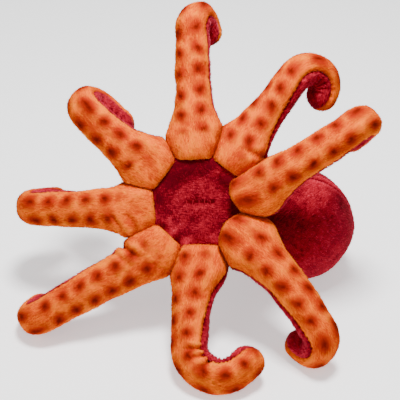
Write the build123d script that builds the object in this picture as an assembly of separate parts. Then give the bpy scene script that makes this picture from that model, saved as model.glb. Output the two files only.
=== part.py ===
"""Plush octopus soft toy, lying on its head with its mouth side turned up and forward.

Every piece is modelled in the mouth frame: the origin is level with the arms' roots over the
middle of the mouth patch, Z points straight out of the patch, and Y is its uphill direction
when the toy lies down. The whole toy is then tilted, set down on the head's flattened side
and centred over the origin.
Lengths are in millimetres and angles in degrees.
"""
from build123d import *
from dataclasses import dataclass
import math
import os

# ---------------------------------------------------------------- driving dimensions
# Stance
mouth_elevation = 35.0          # how far the mouth axis points above the horizontal

# Mouth patch
mouth_apothem = 36.0            # middle of the patch to the middle of one of its eight sides
mouth_sink = 5.0                # how deep the patch lies below the root of the arms
arm_count = 8

# Fabric and seams
pile_wall = 1.8                 # short-pile fabric with its backing
seam_gap = 0.3                  # between two panels, where the seam allowance turns in
lining_gap = 0.3                # between a panel and the stuffing behind it
hinge_gap = 0.5                 # between two arm sections at the end of a bend
sector_reach = 120.0            # an arm's share of the body, cut well beyond the crotches
sector_height = 160.0

# Arm section, as half sizes at a distance along the arm
root_half_width = 15.0          # at the mouth patch
root_half_depth = 13.0
crotch_half_width = 24.0        # where two neighbours part
crotch_half_depth = 15.5
arm_half_width = 16.0           # beyond the crotch
arm_half_depth = 13.4
tip_radius = 12.5
crotch_station = 24.0
shoulder_station = 34.0
shoulder_half_width = 20.5
slim_station = 58.0

# Bend lines of each arm
root_station = 30.0             # first bend line, just outside the crotch
curl_setback = 13.0             # second bend line, this far before the curled end starts
root_swing = 22.0               # largest bend of the first bend line
curl_swing = 45.0               # how far the second bend line straightens the curled end
curl_tighten = 3.0              # how much tighter it curls before it meets its own arm
knuckle_radius = 8.0            # rounded end of the stuffing that the next section turns on
knuckle_neck_radius = 5.5

# Head
head_radius = 52.0
head_distance = 129.0           # mouth patch to the middle of the round part of the head
head_heading = (0.71, -0.155, -0.68)
head_seam_heading = (0.0, 0.57, -0.82)  # from the neck side of the head's seam to its crown side
head_neck_radius = 25.0
head_neck_distance = 70.0
head_shoulder_angle = 45.0      # round the head's middle, from its widest to where the neck starts
head_rest_depth = 1.5           # how much the head is flattened where it lies on the floor
head_swing_low = -18.0
head_swing_high = 5.0

# Neck
collar_thickness = 30.0         # mouth patch to the back of the body
neck_pivot_distance = 47.0      # mouth patch to the middle of the neck's knuckle
neck_knuckle_radius = 11.0
neck_stem_radius = 8.0
stem_root = 2.0                 # how far a stem runs into the piece that it stands on

# Eyes
eye_radius = 7.0
eye_stem_radius = 2.5
eye_stem_length = 9.0
eye_washer_radius = 8.0
eye_washer_thickness = 1.6
face_heading = (-0.42, 0.675, -0.605)
eye_lean = 32.0                 # round the head's axis, from the middle of the face to each eye
eye_back = 62.0                 # from the head's far end towards the neck


@dataclass(frozen=True)
class Bend:
    """A stretch of an arm of constant curvature.

    curl turns it towards its red top side, sway turns it sideways, anticlockwise as seen
    from the underside, and twist turns the underside clockwise about the arm.
    """

    length: float
    curl: float = 0.0
    sway: float = 0.0
    twist: float = 0.0


@dataclass(frozen=True)
class Arm:
    """One arm: where it leaves the mouth patch, its bends and how well it is stuffed."""

    name: str
    azimuth: float
    bends: tuple
    lift: float = 0.0
    root_height: float = -15.0
    fullness: float = 1.0
    back_swing: float = root_swing


arms = [
    Arm("arm_1", 93.0, fullness=0.92, bends=(
        Bend(30, twist=-8), Bend(84, curl=5, sway=-2, twist=-16), Bend(45, curl=170), Bend(9, curl=5))),
    Arm("arm_2", 53.0, fullness=0.95, bends=(
        Bend(30, twist=-20), Bend(71, twist=-40), Bend(50, curl=165), Bend(13, curl=10))),
    Arm("arm_3", 13.0, lift=-40.0, root_height=-8.0, fullness=0.92, back_swing=6.0, bends=(
        Bend(30, curl=15, sway=16), Bend(82, curl=25, sway=9), Bend(47, curl=170), Bend(12))),
    Arm("arm_4", -38.0, lift=-28.5, root_height=-8.0, back_swing=6.0, bends=(
        Bend(30, curl=10, sway=-6, twist=-10), Bend(84, curl=22, sway=-8, twist=-30),
        Bend(45, curl=155), Bend(12, curl=5))),
    Arm("arm_5", -90.0, lift=-14.5, bends=(
        Bend(30, curl=-4, sway=-10, twist=20), Bend(59, sway=12, twist=30),
        Bend(58, curl=93, sway=90), Bend(22, curl=5, sway=10))),
    Arm("arm_6", -133.0, lift=1.0, fullness=1.06, bends=(
        Bend(30, sway=-9), Bend(20, curl=2, sway=-9, twist=-5), Bend(80, twist=-5),
        Bend(42, curl=165), Bend(8))),
    Arm("arm_7", 186.0, lift=8.0, bends=(
        Bend(30, curl=5, sway=-6, twist=5), Bend(81, curl=8, twist=-15), Bend(47, curl=170), Bend(12))),
    Arm("arm_8", 143.0, fullness=0.95, bends=(
        Bend(30, twist=-6), Bend(54, curl=5, sway=-7, twist=-14), Bend(44, curl=165), Bend(34, curl=8))),
]

# ---------------------------------------------------------------- the arms' centre lines


@dataclass(frozen=True)
class Station:
    """A place on an arm's centre line, with the directions along it and out of its underside."""

    point: Vector
    along: Vector
    under: Vector

    @property
    def side(self):
        """The direction across the arm, about which it curls."""
        return self.under.cross(self.along)

    @property
    def plane(self):
        """The cross-section plane: x across the arm, y out of the underside."""
        return Plane(origin=self.point, x_dir=self.side, z_dir=self.along)


def turned(vector, direction, angle):
    """The vector turned about a direction, by Rodrigues' formula."""
    swept = vector * math.cos(angle) + direction.cross(vector) * math.sin(angle)
    return swept + direction * (direction.dot(vector) * (1 - math.cos(angle)))


def advanced(start, bend, distance):
    """The station this far along a bend, which is an arc or a helix about a fixed axis."""
    spin = start.along * bend.twist + start.under * bend.sway + start.side * bend.curl
    if spin.length < 1e-9:
        return Station(start.point + start.along * distance, start.along, start.under)
    direction = spin.normalized()
    rate = math.radians(spin.length) / bend.length
    angle = rate * distance
    axial = direction * direction.dot(start.along)
    radial = start.along - axial
    travel = axial * distance + radial * (math.sin(angle) / rate)
    travel = travel + direction.cross(radial) * ((1 - math.cos(angle)) / rate)
    along = turned(start.along, direction, angle)
    under = turned(start.under, direction, angle)
    return Station(start.point + travel, along, under)


def arm_root(arm):
    """The first station of an arm, at the edge of the mouth patch."""
    azimuth = math.radians(arm.azimuth)
    outward = Vector(math.cos(azimuth), math.sin(azimuth), 0)
    level = Station(outward * mouth_apothem + Vector(0, 0, arm.root_height), outward, Vector(0, 0, 1))
    lift = math.radians(arm.lift)
    return Station(level.point, turned(outward, level.side, lift), turned(level.under, level.side, lift))


def arm_station(arm, distance):
    """The station at a distance along an arm from the mouth patch."""
    station = arm_root(arm)
    for bend in arm.bends:
        if distance <= bend.length:
            return advanced(station, bend, distance)
        station = advanced(station, bend, bend.length)
        distance -= bend.length
    return Station(station.point + station.along * distance, station.along, station.under)


def arm_length(arm):
    """The length of an arm's centre line."""
    return sum(bend.length for bend in arm.bends)


def curl_station(arm):
    """Where the second bend line lies: just before the curled end, which is the last two bends."""
    curled_end = sum(bend.length for bend in arm.bends[-2:])
    return arm_length(arm) - curled_end - curl_setback


def between(distance, low, high, low_value, high_value):
    """A value that runs straight from one station to the next."""
    share = min(max((distance - low) / (high - low), 0.0), 1.0)
    return low_value + (high_value - low_value) * share


def half_sizes(arm, distance):
    """Half the width and half the depth of an arm at a station."""
    width = arm_half_width * arm.fullness
    depth = arm_half_depth * arm.fullness
    tip_station = arm_length(arm) - tip_radius
    if distance < crotch_station:
        return (between(distance, 0, crotch_station, root_half_width, crotch_half_width),
                between(distance, 0, crotch_station, root_half_depth, crotch_half_depth))
    if distance < shoulder_station:
        return (between(distance, crotch_station, shoulder_station, crotch_half_width, shoulder_half_width),
                crotch_half_depth)
    if distance < slim_station:
        return (between(distance, shoulder_station, slim_station, shoulder_half_width, width),
                between(distance, shoulder_station, slim_station, crotch_half_depth, depth))
    return (between(distance, slim_station, tip_station, width, tip_radius),
            between(distance, slim_station, tip_station, depth, tip_radius))


def end_setback(arm, distance, swing):
    """How far a section stops short of a bend line, so that two flat ends just clear at full bend."""
    half_depth = half_sizes(arm, distance)[1]
    return half_depth * math.tan(math.radians(swing / 2)) + hinge_gap


# ---------------------------------------------------------------- arm sections


def panel_wire(station, half_width, half_depth, facing):
    """Outline of a panel's cross-section: half an elliptical ring, on the side that it faces."""
    plane = station.plane
    centre = (0, facing * seam_gap / 2)
    start = 0 if facing > 0 else 180
    outer = EllipticalCenterArc(centre, half_width, half_depth, start, arc_size=180)
    inner = EllipticalCenterArc(centre, half_width - pile_wall, half_depth - pile_wall, start, arc_size=180)
    first = Line(outer @ 1, inner @ 1)
    second = Line(inner @ 0, outer @ 0)
    return plane.from_local_coords(Wire([outer, first, inner, second]))


def filling_wire(station, half_width, half_depth):
    """Outline of the stuffing's cross-section: the ellipse that fits inside both panels."""
    inset = pile_wall + lining_gap
    return Wire([Edge.make_ellipse(half_width - inset, half_depth - inset, plane=station.plane)])


def stations_between(start, end, spacing=5.0):
    """Evenly spaced distances from start to end."""
    count = max(2, math.ceil((end - start) / spacing))
    return [start + (end - start) * i / count for i in range(count + 1)]


def panel(arm, start, end, facing):
    """A panel from one station to another, facing the underside (1) or the top side (-1)."""
    wires = []
    for distance in stations_between(start, end):
        wires.append(panel_wire(arm_station(arm, distance), *half_sizes(arm, distance), facing))
    return Solid.make_loft(wires, ruled=True)


def filling(arm, start, end):
    """The stuffing from one station to another."""
    wires = []
    for distance in stations_between(start, end):
        wires.append(filling_wire(arm_station(arm, distance), *half_sizes(arm, distance)))
    return Solid.make_loft(wires, ruled=True)


def tip_panel(arm, facing):
    """The rounded end of a panel: half of a hemispherical shell."""
    station = arm_station(arm, arm_length(arm) - tip_radius)
    middle = station.point + station.under * (facing * seam_gap / 2)
    # x runs along the arm and y across it, so a turn about x sweeps over the faced side
    plane = Plane(origin=middle, x_dir=station.along, z_dir=station.under)
    outer = CenterArc((0, 0), tip_radius, 0, 90)
    inner = CenterArc((0, 0), tip_radius - pile_wall, 0, 90)
    ring = Wire([outer, Line(outer @ 1, inner @ 1), inner, Line(inner @ 0, outer @ 0)])
    face = plane.from_local_coords(Face(ring))
    return revolve(face, Axis(middle, station.along * facing), revolution_arc=180)


def tip_filling(arm):
    """The rounded end of the stuffing."""
    station = arm_station(arm, arm_length(arm) - tip_radius)
    radius = tip_radius - pile_wall - lining_gap
    return station.plane.location * Sphere(radius)


def knuckle(station, setback, radius, neck_radius):
    """The rounded end of the stuffing that stands in the next section, on its neck."""
    neck = Cylinder(neck_radius, setback + stem_root, align=(Align.CENTER, Align.CENTER, Align.MAX))
    return station.plane.location * (Sphere(radius) + neck)


def socket(station, radius):
    """The room that a knuckle takes out of the next section."""
    return station.plane.location * Sphere(radius + hinge_gap)


def sector(low, high):
    """The wedge of space between two crotches, a seam gap narrower than the whole wedge."""
    middle = math.radians((low + high) / 2)
    half = math.radians((high - low) / 2)
    start = seam_gap / 2 / math.sin(half)
    apex = (start * math.cos(middle), start * math.sin(middle))
    rim = []
    for angle in (low, (low + high) / 2, high):
        rim.append((apex[0] + sector_reach * math.cos(math.radians(angle)),
                    apex[1] + sector_reach * math.sin(math.radians(angle))))
    wedge = Face(Wire.make_polygon([apex, *rim], close=True))
    return extrude(Pos(0, 0, -sector_height / 2) * wedge, amount=sector_height, dir=(0, 0, 1))


def crotches(index):
    """The azimuths of the two crotches beside an arm, halfway to its neighbours."""
    azimuth = arms[index].azimuth
    following = arms[(index + 1) % arm_count].azimuth
    previous = arms[index - 1].azimuth
    low = azimuth - ((azimuth - following) % 360) / 2
    high = azimuth + ((previous - azimuth) % 360) / 2
    return low, high


# ---------------------------------------------------------------- the root: mouth, collar, arm bases


def patch_prism(apothem, top, depth):
    """An eight-sided prism about the mouth axis, from its top downwards."""
    outline = RegularPolygon(apothem, arm_count, major_radius=False, rotation=180 / arm_count)
    return Pos(0, 0, top) * extrude(outline, amount=-depth)


def mouth_patch():
    """The eight-sided patch in the middle of the underside."""
    return patch_prism(mouth_apothem - seam_gap, -mouth_sink, pile_wall)


def core_radius():
    """The radius of the stuffing behind the patch, inside the arm bases."""
    return mouth_apothem - seam_gap - lining_gap


def neck_socket():
    """The room for the head's knuckle in the back of the body."""
    return Pos(*(head_axis() * neck_pivot_distance)) * Sphere(neck_knuckle_radius + hinge_gap)


def body_stuffing():
    """The stuffing behind the mouth patch, with the hollow for the head's knuckle."""
    top = -mouth_sink - pile_wall - lining_gap
    depth = collar_thickness + top - pile_wall - lining_gap
    core = Cylinder(core_radius(), depth, align=(Align.CENTER, Align.CENTER, Align.MAX))
    return Pos(0, 0, top) * core - neck_socket()


def neck_collar():
    """The red panel that closes the back of the body round the neck."""
    plate = Cylinder(core_radius(), pile_wall, align=(Align.CENTER, Align.CENTER, Align.MIN))
    neck_hole = Pos(*(head_axis() * neck_pivot_distance)) * Sphere(neck_knuckle_radius + 2 * hinge_gap)
    return Pos(0, 0, -collar_thickness) * plate - neck_hole


def arm_base(index):
    """The root of an arm, sewn to its neighbours: under panel, top panel and stuffing."""
    arm = arms[index]
    wedge = sector(*crotches(index))
    end = root_station - end_setback(arm, root_station, root_swing)
    core = patch_prism(mouth_apothem + seam_gap, -mouth_sink + seam_gap, sector_height)
    under = (panel(arm, 0, end, 1) & wedge) - core
    top = (panel(arm, 0, end, -1) & wedge) - core
    inner_end = end - lining_gap
    bulk = (filling(arm, 0, inner_end) & wedge) - core
    station = arm_station(arm, root_station)
    stem = knuckle(station, root_station - inner_end, knuckle_radius, knuckle_neck_radius)
    return under, top, bulk + stem


# ---------------------------------------------------------------- the free part of each arm


def arm_middle(arm):
    """The straight part of an arm between its two bend lines."""
    start = root_station + end_setback(arm, root_station, root_swing)
    bend_line = curl_station(arm)
    end = bend_line - end_setback(arm, bend_line, curl_swing)
    bulk = filling(arm, start, end)
    bulk = bulk - socket(arm_station(arm, root_station), knuckle_radius)
    stem = knuckle(arm_station(arm, bend_line), bend_line - end, knuckle_radius, knuckle_neck_radius)
    return panel(arm, start, end, 1), panel(arm, start, end, -1), bulk + stem


def arm_end(arm):
    """The curled end of an arm, with its rounded tip."""
    bend_line = curl_station(arm)
    start = bend_line + end_setback(arm, bend_line, curl_swing)
    end = arm_length(arm) - tip_radius
    under = panel(arm, start, end, 1) + tip_panel(arm, 1)
    top = panel(arm, start, end, -1) + tip_panel(arm, -1)
    bulk = filling(arm, start, end) + tip_filling(arm)
    return under, top, bulk - socket(arm_station(arm, bend_line), knuckle_radius)


# ---------------------------------------------------------------- the head


def head_axis():
    """The direction from the mouth patch to the head's far end."""
    return Vector(*head_heading).normalized()


def head_plane():
    """The head's frame: z along the head, x out of the middle of its face."""
    return Plane(origin=(0, 0, 0), x_dir=face_heading, z_dir=head_axis())


def head_profile(inset):
    """Half of the head's outline, this far inside its surface, in a plane through its axis."""
    neck = head_neck_distance + inset
    far_end = head_distance + head_radius - inset
    radius = head_radius - inset
    shoulder_angle = head_shoulder_angle
    run = radius * math.cos(math.radians(shoulder_angle))
    joint = (radius * math.sin(math.radians(shoulder_angle)), head_distance - run)
    side = Spline((head_neck_radius - inset, neck), joint, tangents=[(0.45, 1.0), (1.0, 1.0)])
    cap = CenterArc((0, head_distance), radius, -shoulder_angle, 90 + shoulder_angle)
    edge = Line((0, neck), (head_neck_radius - inset, neck))
    axis = Line((0, far_end), (0, neck))
    return Face(Wire([edge, side, cap, axis]))


def head_bulk(inset):
    """The head's solid of revolution, this far inside its surface."""
    section = Plane.XZ * head_profile(inset)
    return head_plane().location * revolve(section, Axis.Z)


def head_half(facing):
    """The crown panel (1) or the neck panel (-1), on either side of the seam round the head."""
    size = 4 * head_radius
    seam = Plane(origin=head_axis() * head_distance, z_dir=head_seam_heading)
    keep = seam.location * Pos(0, 0, facing * (size + seam_gap) / 2) * Box(size, size, size)
    return (head_bulk(0) - head_bulk(pile_wall)) & keep


def head_stuffing():
    """The stuffing of the head, with the knuckle that stands in the back of the body."""
    bulk = head_bulk(pile_wall + lining_gap)
    length = head_neck_distance - neck_pivot_distance + 2 * pile_wall + stem_root
    stem = Cylinder(neck_stem_radius, length, align=(Align.CENTER, Align.CENTER, Align.MIN))
    stem = Pos(0, 0, neck_pivot_distance) * stem
    ball = Pos(0, 0, neck_pivot_distance) * Sphere(neck_knuckle_radius)
    return bulk + head_plane().location * (stem + ball)


def neck_passage():
    """The hole that the stem passes through where the head's panels are gathered at the neck."""
    length = 4 * pile_wall
    hole = Cylinder(neck_stem_radius + lining_gap, length)
    return head_plane().location * (Pos(0, 0, head_neck_distance) * hole)


def eye_location(side):
    """Where an eye sits on the head, its z axis pointing out."""
    lean = math.radians(eye_lean)
    back = math.radians(eye_back)
    out = Vector(math.cos(lean), side * math.sin(lean), 0) * math.sin(back) + Vector(0, 0, math.cos(back))
    plane = Plane(origin=Vector(0, 0, head_distance) + out * head_radius, x_dir=(0, 0, 1), z_dir=out)
    return head_plane().location * plane.location


def eye(side):
    """A domed plastic eye on its stem, which passes through the panel."""
    dome = Sphere(eye_radius) & Pos(0, 0, eye_radius) * Box(4 * eye_radius, 4 * eye_radius, 2 * eye_radius)
    dome = Pos(0, 0, lining_gap) * dome
    stem = Cylinder(eye_stem_radius, eye_stem_length, align=(Align.CENTER, Align.CENTER, Align.MAX))
    return eye_location(side) * (dome + Pos(0, 0, lining_gap) * stem)


def eye_hole(side):
    """The hole for an eye's stem."""
    hole = Cylinder(eye_stem_radius + hinge_gap, 2 * eye_stem_length)
    return eye_location(side) * hole


def washer_seat():
    """How deep under the head's surface a flat washer's rim meets the inside of the panel."""
    inside = head_radius - pile_wall
    return head_radius - math.sqrt(inside ** 2 - eye_washer_radius ** 2) + lining_gap


def eye_washer(side):
    """The washer pushed onto an eye's stem inside the head."""
    ring = Cylinder(eye_washer_radius, eye_washer_thickness) - Cylinder(
        eye_stem_radius + hinge_gap, 2 * eye_washer_thickness)
    return eye_location(side) * Pos(0, 0, -washer_seat() - eye_washer_thickness / 2) * ring


def washer_pocket(side):
    """The room that a washer and the end of its stem press into the stuffing."""
    depth = washer_seat() + eye_washer_thickness + lining_gap
    pocket = Cylinder(eye_washer_radius + lining_gap, depth, align=(Align.CENTER, Align.CENTER, Align.MAX))
    tail = Cylinder(eye_stem_radius + hinge_gap, eye_stem_length + hinge_gap,
                    align=(Align.CENTER, Align.CENTER, Align.MAX))
    return eye_location(side) * (pocket + tail)


# ---------------------------------------------------------------- assembly


def stance():
    """The location of the mouth frame when the toy lies on the floor, before it is centred."""
    elevation = math.radians(mouth_elevation)
    outward = Vector(0, -math.cos(elevation), math.sin(elevation))
    tilt = Plane(origin=(0, 0, 0), x_dir=(1, 0, 0), z_dir=outward)
    head_middle = tilt.from_local_coords(head_axis() * head_distance)
    height = head_radius - head_rest_depth - head_middle.Z
    return Plane(origin=(0, 0, height), x_dir=(1, 0, 0), z_dir=outward).location


def mouth_frame_nodes():
    """Every node's solids in the mouth frame, by name."""
    nodes = {
        "mouth_patch": [mouth_patch()],
        "neck_collar": [neck_collar()],
        "body_stuffing": [body_stuffing()],
    }
    bases = [arm_base(index) for index in range(arm_count)]
    nodes["arm_base_under_panels"] = [base[0] for base in bases]
    nodes["arm_base_top_panels"] = [base[1] for base in bases]
    nodes["arm_base_stuffing"] = [base[2] for base in bases]
    for arm in arms:
        for section, pieces in (("middle", arm_middle(arm)), ("end", arm_end(arm))):
            for piece, solid in zip(("under_panel", "top_panel", "stuffing"), pieces):
                nodes[f"{arm.name}_{section}_{piece}"] = [solid]
    holes = eye_hole(1) + eye_hole(-1)
    nodes["head_crown_panel"] = [head_half(1) - holes]
    nodes["head_neck_panel"] = [head_half(-1) - neck_passage()]
    nodes["head_stuffing"] = [head_stuffing() - washer_pocket(1) - washer_pocket(-1)]
    nodes["eyes"] = [eye(1), eye(-1)]
    nodes["eye_washers"] = [eye_washer(1), eye_washer(-1)]
    return nodes


@dataclass(frozen=True)
class Joint:
    """A hinge between two bodies, in the mouth frame."""

    name: str
    parent: str
    child: str
    point: Vector
    axis: Vector
    low: float
    high: float


def joints():
    """Every bend line, with positive angles bending an arm towards its top side."""
    found = []
    for arm in arms:
        root = arm_station(arm, root_station)
        curl = arm_station(arm, curl_station(arm))
        middle = f"{arm.name}_middle"
        end = f"{arm.name}_end"
        found.append(Joint(f"{arm.name}_root_bend", "body", middle, root.point, root.side,
                           -root_swing, arm.back_swing))
        found.append(Joint(f"{arm.name}_curl", middle, end, curl.point, curl.side,
                           -curl_swing, curl_tighten))
    nod = head_axis().cross(Vector(0, 0, 1)).normalized()
    found.append(Joint("head_nod", "body", "head", head_axis() * neck_pivot_distance, nod,
                       head_swing_low, head_swing_high))
    return found


def solids_of(shapes):
    """The plain solids of a list of shapes."""
    solids = []
    for shape in shapes:
        solids.extend(shape.solids())
    return solids


def settled(nodes):
    """The nodes tilted to the toy's stance, trimmed at the floor and centred over the origin."""
    placed = {name: [solid.moved(stance()) for solid in solids_of(shapes)] for name, shapes in nodes.items()}
    floor = Pos(0, 0, -2 * head_radius) * Box(8 * head_radius, 8 * head_radius, 4 * head_radius)
    for name in ("head_crown_panel", "head_neck_panel"):
        placed[name] = solids_of([solid - floor for solid in placed[name]])
    box = Compound([solid for solids in placed.values() for solid in solids]).bounding_box(optimal=True)
    shift = Location((-box.center().X, -box.center().Y, 0))
    return {name: [solid.moved(shift) for solid in solids] for name, solids in placed.items()}, shift


def main():
    """Build every node and write its STEP file."""
    os.makedirs("parts", exist_ok=True)
    nodes, _ = settled(mouth_frame_nodes())
    for name, solids in nodes.items():
        shape = solids[0] if len(solids) == 1 else Compound(solids)
        export_step(shape, f"parts/{name}.step")


if __name__ == "__main__":
    main()
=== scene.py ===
"""Plush octopus soft toy: short-pile fabric skins, stuffing, stitches and eyes over the CAD frame.

Surfaces are worked out with numpy in millimetres in the mouth frame: its origin is level with
the arms' roots over the middle of the mouth patch, its third axis points out of the patch and
its second is uphill. They are turned into row-frame metres when a mesh is made.
"""

import logging
import math
from dataclasses import dataclass, fields, replace
from enum import Enum
from typing import Optional, Union

import bpy
import numpy as np
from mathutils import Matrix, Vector


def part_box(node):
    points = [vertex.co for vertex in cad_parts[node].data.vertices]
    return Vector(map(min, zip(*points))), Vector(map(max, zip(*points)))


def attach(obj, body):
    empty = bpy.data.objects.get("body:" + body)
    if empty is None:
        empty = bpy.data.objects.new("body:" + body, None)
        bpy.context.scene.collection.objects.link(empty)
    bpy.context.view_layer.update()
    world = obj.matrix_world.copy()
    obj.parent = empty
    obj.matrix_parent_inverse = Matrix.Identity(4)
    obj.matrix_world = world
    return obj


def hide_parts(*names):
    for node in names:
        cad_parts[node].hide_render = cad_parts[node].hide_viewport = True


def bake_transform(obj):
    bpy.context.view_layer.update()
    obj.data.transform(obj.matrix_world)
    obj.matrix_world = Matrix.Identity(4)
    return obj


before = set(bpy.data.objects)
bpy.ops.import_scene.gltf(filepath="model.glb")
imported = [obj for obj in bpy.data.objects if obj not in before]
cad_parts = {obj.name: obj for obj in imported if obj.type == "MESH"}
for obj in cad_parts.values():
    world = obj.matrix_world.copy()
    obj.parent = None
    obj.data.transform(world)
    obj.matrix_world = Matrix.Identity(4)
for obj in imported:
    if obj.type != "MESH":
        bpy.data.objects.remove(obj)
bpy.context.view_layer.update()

LOG = logging.getLogger("octopus")
Array = np.ndarray
MM = 0.001
DECIMETRE = 100.0
ARM_STEP = 400.0
SPOT_START = 40.0

MOUTH_ELEVATION = 35.0
MOUTH_APOTHEM = 36.0
PATCH_MIDDLE_DEPTH = 5.9
PILE_WALL = 1.8
TIP_RADIUS = 12.5
ROOT_STATION = 30.0
CURL_SETBACK = 13.0
ROOT_REACH = 12.0
CURL_REACH = 11.0
ARM_FILL = 0.85
# The level of the skin under the tufts, below the tufts' own: painted shade under the pile.
SKIN_PAINTED_SHADE = 0.42
CHART_MARGIN = 0.02
THREAD_SIDES = 10
DOWN = (0.0, 0.0, -1.0)


class Side(Enum):
    """Which fabric panel of an arm: the spotted underside or the plain top side."""

    UNDER = 1
    TOP = -1

    @property
    def cad_word(self) -> str:
        """The word that the CAD nodes of this side use."""
        return self.name.lower()

    @property
    def slot(self) -> str:
        """The record's material slot for this side's fabric."""
        return "spotted_orange_plush" if self is Side.UNDER else "red_plush"

    @property
    def middle(self) -> float:
        """The angle round the section that this side faces, in radians."""
        return self.value * math.pi / 2 % (2 * math.pi)


class Section(Enum):
    """Which stretch of an arm."""

    BASE = "base"
    MIDDLE = "middle"
    END = "end"


@dataclass(frozen=True)
class Bend:
    """A stretch of an arm of constant curvature, in millimetres and degrees."""

    length: float
    curl: float = 0.0
    sway: float = 0.0
    twist: float = 0.0


@dataclass(frozen=True)
class Crease:
    """A fold across the fabric.

    station is its distance along the arm, angle its middle round the section in degrees (90 is
    the middle of the underside), depth and width are in millimetres, reach is half its extent
    round the section in degrees and slant how far it runs along the arm per degree.
    """

    station: float
    angle: float
    depth: float
    width: float
    reach: float
    slant: float = 0.0


@dataclass(frozen=True)
class ArmPlan:
    """One arm: where it leaves the mouth patch, its bends, its fill and its fabric details.

    clear is the length at its root that has no spots, in millimetres.
    """

    name: str
    azimuth: float
    bends: tuple
    lift: float = 0.0
    root_height: float = -15.0
    fullness: float = 1.0
    overhang: float = 2.0
    clear: float = 25.0
    creases: tuple = ()


ARMS = (
    ArmPlan("arm_1", 93.0, fullness=0.92, clear=24.0, bends=(
        Bend(30, twist=-8), Bend(84, curl=5, sway=-2, twist=-16), Bend(45, curl=170), Bend(9, curl=5))),
    ArmPlan("arm_2", 53.0, fullness=0.95, clear=16.0, bends=(
        Bend(30, twist=-20), Bend(71, twist=-40), Bend(50, curl=165), Bend(13, curl=10)),
        creases=(Crease(26, 150, 1.8, 2.6, 45, 0.10),)),
    ArmPlan("arm_3", 13.0, lift=-40.0, root_height=-8.0, fullness=0.92, overhang=10.0, clear=7.0,
            bends=(Bend(30, curl=15, sway=16), Bend(82, curl=25, sway=9), Bend(47, curl=170), Bend(12))),
    ArmPlan("arm_4", -38.0, lift=-28.5, root_height=-8.0, overhang=11.0, clear=8.0, bends=(
        Bend(30, curl=10, sway=-6, twist=-10), Bend(84, curl=22, sway=-8, twist=-30),
        Bend(45, curl=155), Bend(12, curl=5))),
    ArmPlan("arm_5", -90.0, lift=-14.5, overhang=3.5, clear=12.0, bends=(
        Bend(30, curl=-4, sway=-10, twist=20), Bend(59, sway=12, twist=30),
        Bend(58, curl=93, sway=90), Bend(22, curl=5, sway=10)),
        creases=(Crease(96, 15, 2.6, 2.6, 60, -0.05), Crease(106, 5, 2.0, 2.4, 50, -0.10),
                 Crease(116, 15, 2.4, 2.6, 55, -0.04))),
    ArmPlan("arm_6", -133.0, lift=1.0, fullness=1.06, clear=20.0, bends=(
        Bend(30, sway=-9), Bend(20, curl=2, sway=-9, twist=-5), Bend(80, twist=-5),
        Bend(42, curl=165), Bend(8)),
        creases=(Crease(40, 165, 3.4, 2.8, 78, 0.10), Crease(49, 150, 1.3, 2.8, 50, 0.14),
                 Crease(24, 30, 1.0, 2.8, 45, 0.08))),
    ArmPlan("arm_7", 186.0, lift=8.0, overhang=3.5, clear=30.0, bends=(
        Bend(30, curl=5, sway=-6, twist=5), Bend(81, curl=8, twist=-15), Bend(47, curl=170), Bend(12)),
        creases=(Crease(18, 40, 1.7, 2.4, 42, 0.16), Crease(29, 40, 1.5, 2.2, 42, 0.26),
                 Crease(38, 30, 1.0, 2.2, 38, 0.30))),
    ArmPlan("arm_8", 143.0, fullness=0.95, clear=26.0, bends=(
        Bend(30, twist=-6), Bend(54, curl=5, sway=-7, twist=-14), Bend(44, curl=165), Bend(34, curl=8))),
)


# ---------------------------------------------------------------- shared maths


def smoothstep(value: Array, low: float, high: float) -> Array:
    """A rise from 0 at low to 1 at high with level ends.

    Args:
        value: where to read the rise.
        low: where it starts.
        high: where it ends.

    Returns:
        The rise, of the same shape as value.
    """
    share = np.clip((value - low) / (high - low), 0.0, 1.0)
    return share * share * (3.0 - 2.0 * share)


def ridge_at(value: Array, middle: float, width: float) -> Array:
    """A bell curve: e to the power of minus the square of the way from the middle over the width.

    Args:
        value: what is read.
        middle: where the curve is 1.
        width: how far from the middle it has fallen to 1/e.

    Returns:
        Numbers between 0 and 1.
    """
    return np.exp(-(((value - middle) / width) ** 2))


def held_above(value: Array, floor: Union[Array, float], softness: float) -> Array:
    """Values kept above a floor: the floor plus k log(1 + exp((value - floor) / k)).

    Args:
        value: what is held.
        floor: the lowest that it may come near to.
        softness: k, the stretch over which the result leaves the floor.

    Returns:
        The held values, which equal the given ones well above the floor.
    """
    return floor + softness * np.logaddexp(0.0, (value - floor) / softness)


def unit(vectors: Array) -> Array:
    """Vectors of length one.

    Args:
        vectors: an array whose last axis is x, y, z.

    Returns:
        The same directions, each with length one.
    """
    length = np.linalg.norm(vectors, axis=-1, keepdims=True)
    return vectors / np.maximum(length, 1e-9)


def turned(vectors: Array, axis: Array, angles: Array) -> Array:
    """Vectors turned about an axis, by Rodrigues' formula.

    Args:
        vectors: the vectors, or a single one.
        axis: a unit vector.
        angles: the angles in radians, one per vector.

    Returns:
        The turned vectors, one row per angle.
    """
    angles = np.atleast_1d(angles)[:, None]
    vectors = np.broadcast_to(vectors, (angles.shape[0], 3))
    swept = vectors * np.cos(angles) + np.cross(axis, vectors) * np.sin(angles)
    return swept + axis * ((vectors @ axis)[:, None] * (1.0 - np.cos(angles)))


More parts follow.
